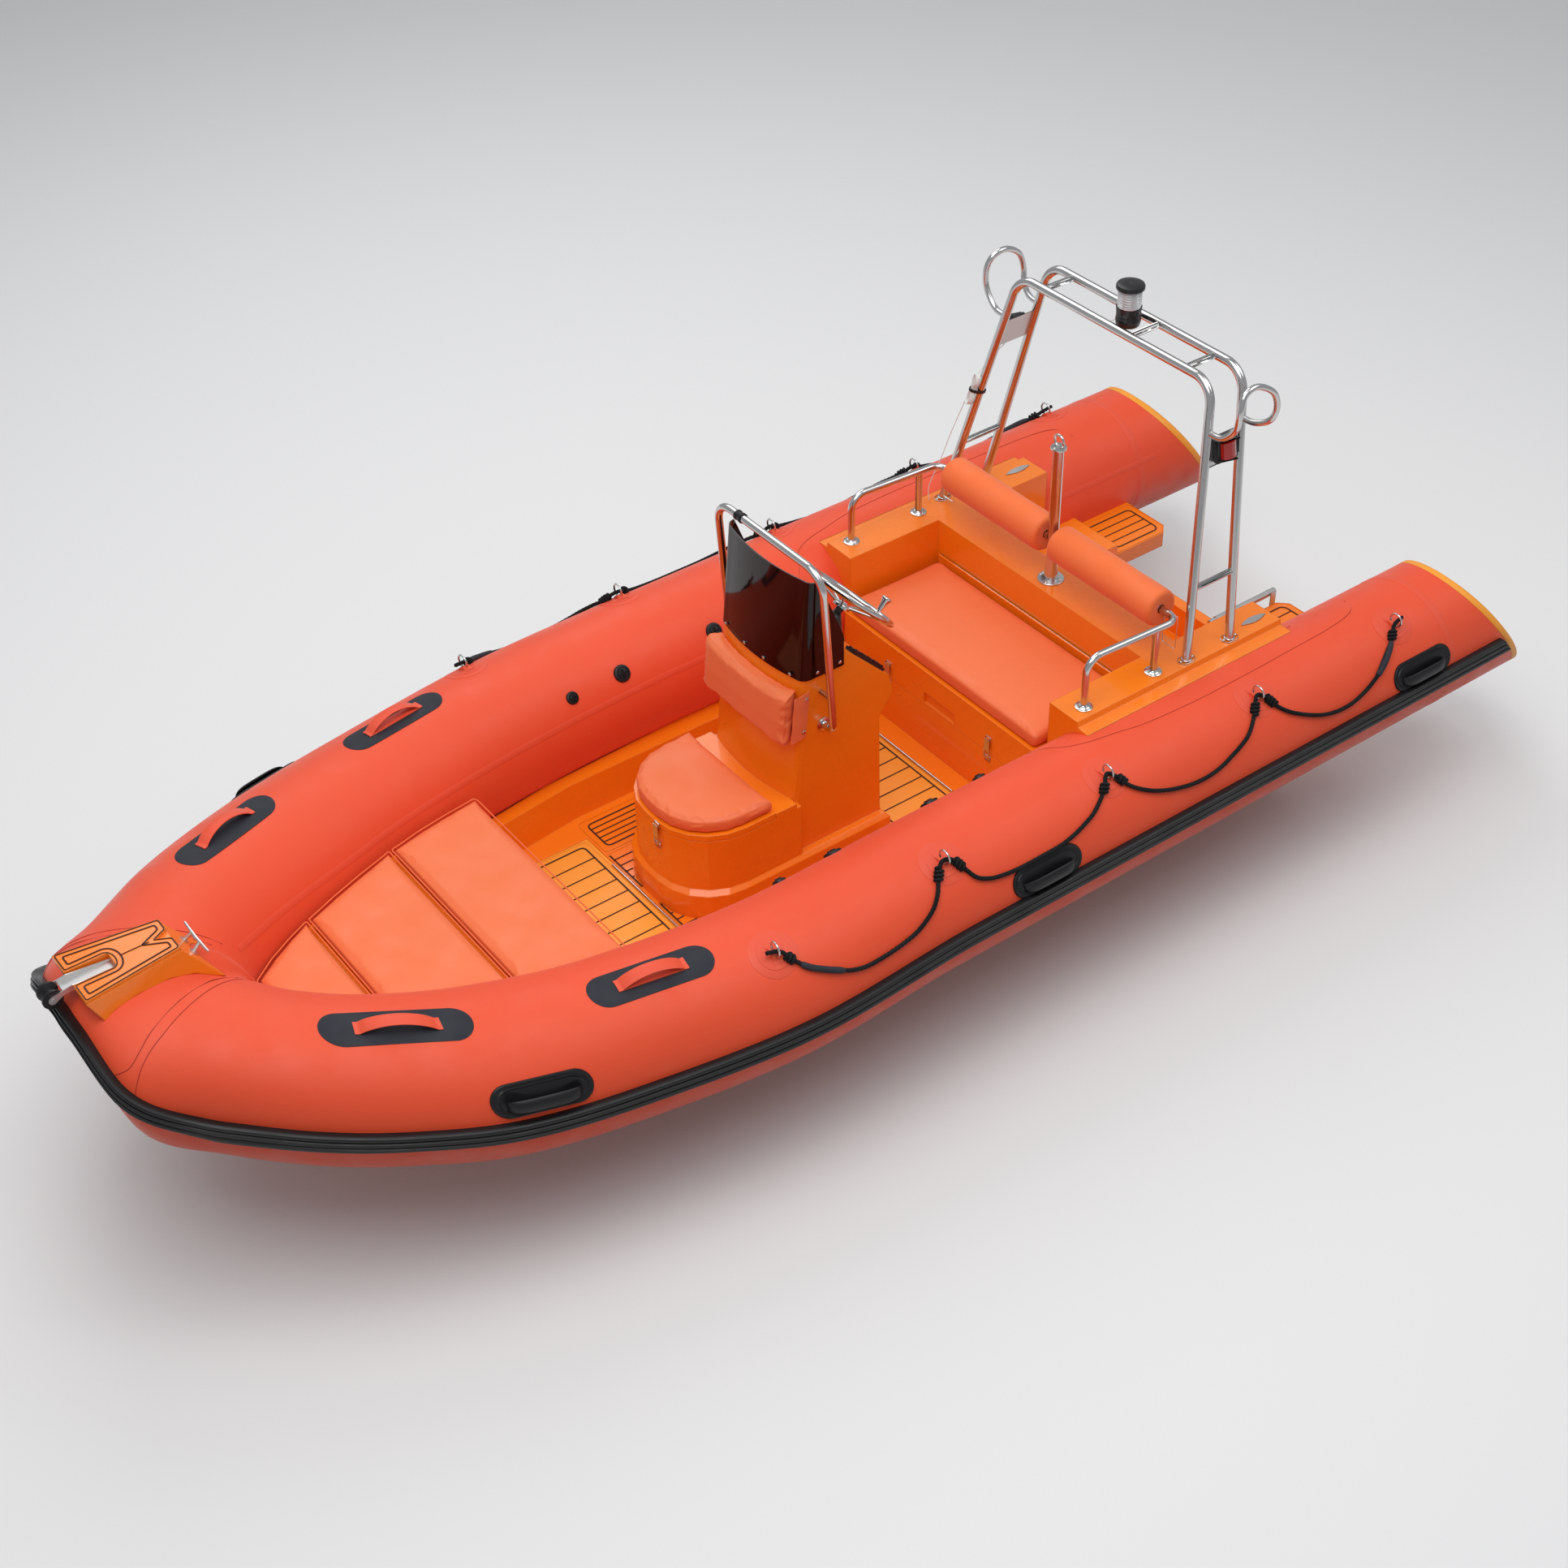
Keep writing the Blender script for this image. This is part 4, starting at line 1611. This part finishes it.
def make_pole():
    """Folding pole beside the port platform: bracket with pin, tube, and telescopic end."""
    side_face = -PLATFORM_INNER + SEAT_GAP
    y_place = -PLATFORM_INNER + POLE_OFFSET
    pin_x = TRANSOM_X + SEAT_GAP + PLATFORM_LENGTH - POLE_PIN_INSET
    along = Vector((-1, 0, 0))
    pin = Vector((pin_x, y_place, POLE_Z))
    plate_low = PLATFORM_TOP_Z - PLATFORM_THICK / 2
    plate_near = side_face + POLE_BRACKET_PLATE
    outline = [(pin_x - POLE_TUBE, plate_low), (pin_x + POLE_TUBE, plate_low),
               (pin_x + POLE_TUBE, POLE_Z + POLE_TUBE), (pin_x - POLE_TUBE, POLE_Z + POLE_TUBE)]
    bracket = prism_y("pole_bracket", outline, side_face, plate_near, "stainless")
    unite(bracket, rod("pin", (pin_x, side_face + SINK / 4, POLE_Z), (pin_x, y_place + POLE_TUBE + SINK, POLE_Z),
                       POLE_PIN, 8, "stainless"))
    start = pin - along * (POLE_LENGTH * (1 - POLE_PIN_SHARE))
    end = start + along * POLE_LENGTH
    pole = rod("stern_pole", start, end, POLE_TUBE, 12, "stainless")
    bore = POLE_INNER_TUBE + POLE_BORE_CLEAR
    deep = end - along * (POLE_SLIDE_INSIDE + SEAT_GAP)
    cut(pole, rod("bore", deep, end + along * CUT_OVERRUN, bore, 12, "stainless"))
    hole = POLE_PIN + POLE_BORE_CLEAR
    far = Vector((0, CUT_OVERRUN, 0))
    cut(pole, rod("hole", pin - far, pin + far, hole, 8, "stainless"))
    set_origin(pole, pin)
    tip = end + along * POLE_SLIDE_SHOWN
    slide = rod("stern_pole_slide", end - along * POLE_SLIDE_INSIDE, tip, POLE_INNER_TUBE, 12, "stainless")
    set_origin(slide, pin)


def make_pop_cleats():
    """Pull-up cleat in its pocket in each quarter."""
    for name, side in (("stern_cleat_port", -1), ("stern_cleat_stbd", 1)):
        top = QUARTER_TOP_Z + POP_PROUD
        outline = pop_outline(0)
        x_place = STERN_X - POP_SETBACK
        plan = [(x_place + x, side * POP_Y + y) for x, y in outline]
        cleat = prism_z(name, plan, top - POP_THICK, top, "stainless")
        for offset in (-POP_STEM_SPACING / 2, POP_STEM_SPACING / 2):
            stem = Vector((x_place + offset, side * POP_Y, top - POP_THICK))
            low_end = stem - Vector((0, 0, POP_STEM_LENGTH))
            unite(cleat, rod("stem", low_end, stem + Vector((0, 0, POP_THICK / 2)), POP_STEM,
                             POP_STEM_SIDES, "stainless"))
        set_origin(cleat, (x_place, side * POP_Y, QUARTER_TOP_Z))


def make_quarter_rail(name, side):
    """Rail on a quarter that turns inboard through the bolster to the tow post."""
    post_x = STERN_X - POST_SETBACK
    foot_z = QUARTER_TOP_Z + SEAT_GAP
    front_x = STERN_X - QUARTER_RAIL_FRONT_SETBACK
    leg_x = STERN_X - QUARTER_RAIL_LEG_SETBACK
    y_place = side * QUARTER_RAIL_Y
    corners = [(front_x, y_place, foot_z), (front_x, y_place, QUARTER_RAIL_TOP_Z),
               (post_x, y_place, QUARTER_RAIL_AFT_Z),
               (post_x, side * (POST_RADIUS + SEAT_GAP), QUARTER_RAIL_AFT_Z)]
    path = bent_path(corners, (QUARTER_RAIL_BEND, QUARTER_RAIL_TURN))
    rail = sweep(name, path, QUARTER_RAIL, TUBE_SIDES, "stainless")
    share = (leg_x - front_x) / (post_x - front_x)
    leg_top = QUARTER_RAIL_TOP_Z + (QUARTER_RAIL_AFT_Z - QUARTER_RAIL_TOP_Z) * share
    unite(rail, rod("leg", (leg_x, y_place, foot_z), (leg_x, y_place, leg_top), QUARTER_RAIL, TUBE_SIDES,
                    "stainless"))
    for x_place in (front_x, leg_x):
        unite(rail, rod("foot", (x_place, y_place, foot_z), (x_place, y_place, foot_z + FOOT_THICK),
                        FOOT_RADIUS, 14, "stainless"))
    plate_y = side * (QUARTER_RAIL_Y - CORNER_PLATE_INSET)
    half = CORNER_PLATE_LENGTH / 2
    plate_x = post_x + QUARTER_RAIL - CORNER_PLATE_THICK
    unite(rail, box("plate", (plate_x, plate_y - half, CORNER_PLATE_LOW_Z),
                    (plate_x + CORNER_PLATE_THICK, plate_y + half, QUARTER_RAIL_AFT_Z), "stainless"))
    return rail


def make_bolster(name, side):
    """Foam roll on the inboard run of a quarter rail."""
    post_x = STERN_X - POST_SETBACK
    inner = POST_RADIUS + BOLSTER_POST_GAP
    bore = QUARTER_RAIL + BOLSTER_BORE_CLEAR
    end, bevel = BOLSTER_RADIUS * BOLSTER_END_SHARE, BOLSTER_RADIUS * BOLSTER_BEVEL_SHARE
    outer = inner + BOLSTER_LENGTH
    profile = ((end, inner), (BOLSTER_RADIUS, inner + bevel), (BOLSTER_RADIUS, outer - bevel), (end, outer))
    roll = turned(name, profile, BOLSTER_SIDES, "foam")
    hole = turned("hole", ((bore, 0), (bore, outer + CUT_OVERRUN)), TUBE_SIDES, "foam")
    cut(roll, hole)
    return place_frame(roll, (post_x, 0, QUARTER_RAIL_AFT_Z), (1, 0, 0), (0, side, 0))


def make_tow_post():
    """Post with its base and top flanges and the tow eye."""
    base = QUARTER_TOP_Z + SEAT_GAP
    profile = ((POST_FLANGE, 0), (POST_FLANGE, POST_FLANGE_THICK), (POST_RADIUS, POST_FLANGE_THICK * 2),
               (POST_RADIUS, POST_TOP_Z - base), (POST_TOP_FLANGE, POST_TOP_Z - base),
               (POST_TOP_FLANGE, POST_TOP_Z - base + POST_FLANGE_THICK * 2))
    post = turned("tow_post", profile, 16, "stainless")
    eye = torus("eye", POST_EYE, POST_EYE_BAR, 14, 6, "stainless")
    eye.data.transform(Matrix.Rotation(math.pi / 2, 4, "Y"))
    eye.data.transform(Matrix.Translation((0, 0, POST_TOP_Z - base + POST_FLANGE_THICK * 2 + POST_EYE)))
    unite(post, eye)
    post.location = Vector((STERN_X - POST_SETBACK, 0, base))
    return post


def bar_leg(front, side, height):
    """Point on the axis of a roll bar leg at a height."""
    share = (height - QUARTER_TOP_Z) / (BAR_TOP_Z - QUARTER_TOP_Z)
    foot_x = STERN_X - (BAR_FRONT_SETBACK if front else BAR_REAR_SETBACK)
    lean = BAR_FRONT_LEAN if front else BAR_REAR_LEAN
    return Vector((foot_x + lean * share, side * (BAR_FOOT_Y + (BAR_TOP_Y - BAR_FOOT_Y) * share), height))


def make_roll_bar():
    """Roll bar: two hoops with rungs, side loops, lamp plates and feet."""
    foot_z = QUARTER_TOP_Z + SEAT_GAP
    hoops = []
    for front in (True, False):
        corners = [bar_leg(front, 1, foot_z - BAR_TUBE), bar_leg(front, 1, BAR_TOP_Z),
                   bar_leg(front, -1, BAR_TOP_Z), bar_leg(front, -1, foot_z - BAR_TUBE)]
        hoops.append(sweep("roll_bar" if front else "rear_hoop", bent_path(corners, (BAR_BEND, BAR_BEND)),
                           BAR_TUBE, TUBE_SIDES, "stainless"))
    bar = hoops[0]
    unite(bar, hoops[1])
    front_top = bar_leg(True, 0, BAR_TOP_Z).x
    rear_top = bar_leg(False, 0, BAR_TOP_Z).x
    for y_place in BAR_TOP_RUNG_PLACES:
        unite(bar, rod("rung", (front_top, y_place, BAR_TOP_Z), (rear_top, y_place, BAR_TOP_Z),
                       BAR_RUNG, RUNG_SIDES, "stainless"))
    for side in (-1, 1):
        unite(bar, rod("rung", bar_leg(True, side, BAR_RUNG_Z), bar_leg(False, side, BAR_RUNG_Z),
                       BAR_RUNG, RUNG_SIDES, "stainless"))
        unite(bar, side_plate(side), side_loop(side))
        for front in (True, False):
            foot = bar_leg(front, side, foot_z)
            low = (foot.x - BAR_FOOT_HALF, foot.y - BAR_FOOT_WIDTH / 2, foot_z)
            high = (foot.x + BAR_FOOT_HALF, foot.y + BAR_FOOT_WIDTH / 2, foot_z + FOOT_THICK)
            unite(bar, box("foot", low, high, "stainless"))
    plate_top = mast_plate_top()
    unite(bar, box("plate", (front_top, -MAST_PLATE_HALF, plate_top - BAR_PLATE_THICK),
                   (rear_top, MAST_PLATE_HALF, plate_top), "stainless"))
    low = Vector((BOW_X, -HALF_LENGTH, foot_z - CUT_OVERRUN))
    return cut(bar, box("floor", low, (HALF_LENGTH, HALF_LENGTH, foot_z), "stainless"))


def mast_plate_top():
    """Height of the top of the mast light's plate."""
    return BAR_TOP_Z - MAST_PLATE_DROP


def side_plate(side):
    """Plate between the two legs that carries a side lamp."""
    half = BAR_PLATE_HEIGHT / 2
    corners = []
    for front, height in ((True, BAR_PLATE_Z - half), (False, BAR_PLATE_Z - half),
                          (False, BAR_PLATE_Z + half), (True, BAR_PLATE_Z + half)):
        corners.append(bar_leg(front, side, height))
    shift = Vector((0, side * BAR_PLATE_THICK / 2, 0))
    return loft("side_plate", [[c - shift for c in corners], [c + shift for c in corners]], "stainless")


def side_loop(side):
    """Thin tube that leaves the front leg, loops outboard and comes back to the rear leg."""
    start = bar_leg(True, side, BAR_LOOP_START_Z)
    end = bar_leg(False, side, BAR_LOOP_START_Z)
    points = []
    for share, outward, upward in BAR_LOOP_ROUTE_SHARES:
        away = Vector((0, side * outward * BAR_LOOP_OUT, upward * BAR_LOOP_RISE))
        points.append(start.lerp(end, share) + away)
    return sweep("side_loop", smooth_path(points, BAR_LOOP_POINTS), BAR_LOOP, BAR_LOOP_SIDES, "stainless")


def lamp_out(side):
    """Direction out of a side plate."""
    front = bar_leg(True, side, BAR_PLATE_Z)
    up = (bar_leg(True, side, BAR_TOP_Z) - front).normalized()
    out = up.cross(bar_leg(False, side, BAR_PLATE_Z) - front).normalized()
    return out if out.y * side > 0 else -out


def make_lamps():
    """All-round light on the roll bar and a lamp on each side plate."""
    base_z = mast_plate_top() + SEAT_GAP
    x_place = (bar_leg(True, 0, BAR_TOP_Z).x + bar_leg(False, 0, BAR_TOP_Z).x) / 2
    base = turned("mast_light_base", share_profile(MAST_BASE_SHARES, MAST_BASE, MAST_BASE_HEIGHT),
                  MAST_STEPS, "black_plastic")
    lens = turned("mast_light_lens", share_profile(MAST_LENS_SHARES, MAST_LENS, MAST_LENS_HEIGHT),
                  MAST_STEPS, "clear_lens")
    cap_profile = share_profile(MAST_CAP_SHARES, MAST_CAP, MAST_CAP_HEIGHT)
    cap = turned("cap", cap_profile, MAST_STEPS, "black_plastic")
    cap.data.transform(Matrix.Translation((0, 0, MAST_LENS_HEIGHT - MAST_CAP_LAP)))
    unite(lens, cap)
    base.location = Vector((x_place, 0, base_z))
    lens.location = base.location + Vector((0, 0, MAST_BASE_HEIGHT + SEAT_GAP))
    for name, side, colour in (("side_lamp_port", -1, "red_lens"), ("side_lamp_stbd", 1, "green_lens")):
        front = bar_leg(True, side, BAR_PLATE_Z)
        rear = bar_leg(False, side, BAR_PLATE_Z)
        along = (rear - front).normalized()
        out = lamp_out(side)
        centre = (front + rear) / 2
        near = BAR_PLATE_THICK / 2 + SEAT_GAP * 2
        half_length, half_height = SIDE_LAMP_LENGTH / 2, SIDE_LAMP_HEIGHT / 2
        lamp = box(name, (-half_length, -half_height, near), (half_length, half_height, near + SIDE_LAMP_DEPTH),
                   "black_plastic")
        place_frame(lamp, centre, along, out)
        start = near + SIDE_LAMP_DEPTH + SEAT_GAP
        outline = []
        for step in range(SIDE_LENS_STEPS + 1):
            angle = math.pi * step / SIDE_LENS_STEPS
            outline.append((-half_length * SIDE_LENS_SHARE * math.cos(angle),
                            start + SIDE_LENS_DEPTH * math.sin(angle)))
        half = half_height * SIDE_LENS_SHARE
        lens = prism_y(name.replace("lamp", "lens"), outline, -half, half, colour)
        place_frame(lens, centre, along, out)


def line_route(stations, side):
    """Route of a grab line: through each ring, and down the collar in a swag between two rings."""
    centre_lift = RING_RADIUS + WEB_HEIGHT - RING_BAR * 2
    low_lift = LINE_RADIUS + LINE_LIFT
    rings = [STERN_X - setback for setback in RING_SETBACKS]
    points = [line_point(stations, rings[0] + LINE_TAIL, RING_ANGLE, centre_lift, side)]
    for ring_x, swag in zip(rings, LINE_SWAGS):
        points.append(line_point(stations, ring_x, RING_ANGLE, centre_lift, side))
        for setback, degrees in swag:
            points.append(line_point(stations, STERN_X - setback, math.radians(degrees), low_lift, side))
    points.append(line_point(stations, rings[-1], RING_ANGLE, centre_lift, side))
    points.append(line_point(stations, rings[-1] - LINE_TAIL, RING_ANGLE, centre_lift, side))
    return points


def line_point(stations, x_place, angle, lift, side):
    """Point beside the collar at a place along X and an angle round it."""
    point = station_at(x_place, stations).point(angle, lift)
    return Vector((point.x, side * point.y, point.z))


def cord(name, points, radius, material_name, rounds=2):
    """Cord as a curve with a round bevel and filled caps, on straight spans."""
    curve = bpy.data.curves.new(name, "CURVE")
    curve.dimensions = "3D"
    curve.bevel_depth = radius
    curve.bevel_resolution = rounds
    curve.use_fill_caps = True
    run = curve.splines.new("POLY")
    run.points.add(len(points) - 1)
    for target, point in zip(run.points, points):
        target.co = (*point, 1.0)
    curve.materials.append(material(material_name))
    made = bpy.data.objects.new(name, curve)
    bpy.context.scene.collection.objects.link(made)
    return made


def make_grab_lines(stations):
    """Black grab line on each side, from ring to ring."""
    for name, side in (("grab_line_port", -1), ("grab_line_stbd", 1)):
        cord(name, smooth_path(line_route(stations, side), LINE_POINTS), LINE_RADIUS, "rope")


def wire_frame():
    """Starboard front leg at the hank: a place on it, its direction up, and the directions out and across."""
    place = bar_leg(True, 1, HANK_MIDDLE_Z)
    up = (bar_leg(True, 1, BAR_TOP_Z) - place).normalized()
    out = Vector(WIRE_OUT)
    out = (out - up * out.dot(up)).normalized()
    return place + out * (BAR_TUBE + WIRE_RADIUS + WIRE_LEG_GAP), up, out, up.cross(out)


def hank_point(turn):
    """Point of the hank after a number of loops, as shares out, up and across in metres."""
    angle = math.tau * turn
    width = HANK_WAIST + (HANK_HALF_WIDTH - HANK_WAIST) * abs(math.cos(angle))
    return HANK_PITCH * turn, HANK_HALF_HEIGHT * math.cos(angle), width * math.sin(angle)


def make_lamp_wire():
    """Lamp wire in three pieces that meet end to end: upper run, hank and lower run."""
    place, up, out, across = wire_frame()
    count = round(HANK_LOOPS * HANK_LOOP_POINTS)
    loops = []
    for index in range(count + 1):
        away, high, wide = hank_point(index / HANK_LOOP_POINTS)
        loops.append(place + out * away + up * high + across * wide)
    head = loops[0] - across * HANK_STUB
    tail = loops[-1] - across * HANK_STUB
    path = [head, *loops, tail]
    print("hank least gap to itself, mm:", round(hank_gap(loops) / WIRE_MM, 2))
    cord("nav_wire_hank", path, WIRE_RADIUS, "wire", 1)
    lamp = (bar_leg(True, 1, BAR_PLATE_Z) + bar_leg(False, 1, BAR_PLATE_Z)) / 2
    plate_out = lamp_out(1)
    below = SIDE_LAMP_HEIGHT / 2 + WIRE_LAMP_GAP
    start = lamp + plate_out * (BAR_PLATE_THICK / 2 + SIDE_LAMP_DEPTH / 2) - up * below
    meet = head - across * SEAT_GAP
    middle = place.lerp(start, WIRE_BEND_SHARE) + out * BAR_TUBE
    upper = [start - up * HANK_STUB, start - up * HANK_STUB * 2, middle,
             meet - across * HANK_STUB * 2 + up * HANK_STUB, meet - across * HANK_STUB]
    cord("nav_wire_upper", [start, *smooth_path(upper, WIRE_UPPER_POINTS), meet], WIRE_RADIUS, "wire", 2)
    meet = tail - across * SEAT_GAP
    foot = bar_leg(True, 1, QUARTER_TOP_Z) + out * WIRE_FOOT_OUT
    foot.z = QUARTER_TOP_Z + SEAT_GAP
    knee = foot + Vector((0, 0, HANK_HALF_HEIGHT))
    first_share, next_share = WIRE_FALL_SHARES
    lower = [meet - across * HANK_STUB, meet - across * HANK_STUB * 2 - up * HANK_STUB * 2,
             meet.lerp(knee, first_share) - across * HANK_STUB * 2, meet.lerp(knee, next_share), knee, foot]
    cord("nav_wire_lower", [meet, *smooth_path(lower, WIRE_LOWER_POINTS)], WIRE_RADIUS, "wire", 2)


def hank_gap(points):
    """Least distance between two loops' points on unlike loops, less the wire's thickness."""
    least = math.inf
    for index, point in enumerate(points):
        for other in points[index + HANK_LOOP_POINTS // 4:]:
            least = min(least, (point - other).length)
    return least - WIRE_RADIUS * 2


def build():
    """Make every piece of the boat."""
    clear_scene()
    stations = collar_stations()
    cutter = collar_cutter(stations)
    make_collar(stations)
    make_end_caps(stations)
    make_strake(stations, cutter)
    make_hull(cutter)
    make_deck(cutter)
    make_hatches()
    make_bow_cushions(stations, cutter)
    make_bow_step(stations, cutter)
    make_bow_roller()
    make_bow_cleat()
    body = make_console()
    lid = make_console_seat()
    make_console_latch(body, lid)
    make_backrest()
    make_screen()
    make_console_rail()
    make_helm()
    make_switches()
    make_stern_moulding(cutter)
    make_bench()
    make_platforms(cutter)
    make_pole()
    make_pop_cleats()
    for side, word in ((-1, "port"), (1, "stbd")):
        make_quarter_rail(f"quarter_rail_{word}", side)
        make_bolster(f"bolster_{word}", side)
    make_tow_post()
    make_roll_bar()
    make_lamps()
    make_grab_lines(stations)
    make_lamp_wire()
    bpy.data.objects.remove(cutter, do_unlink=True)


build()
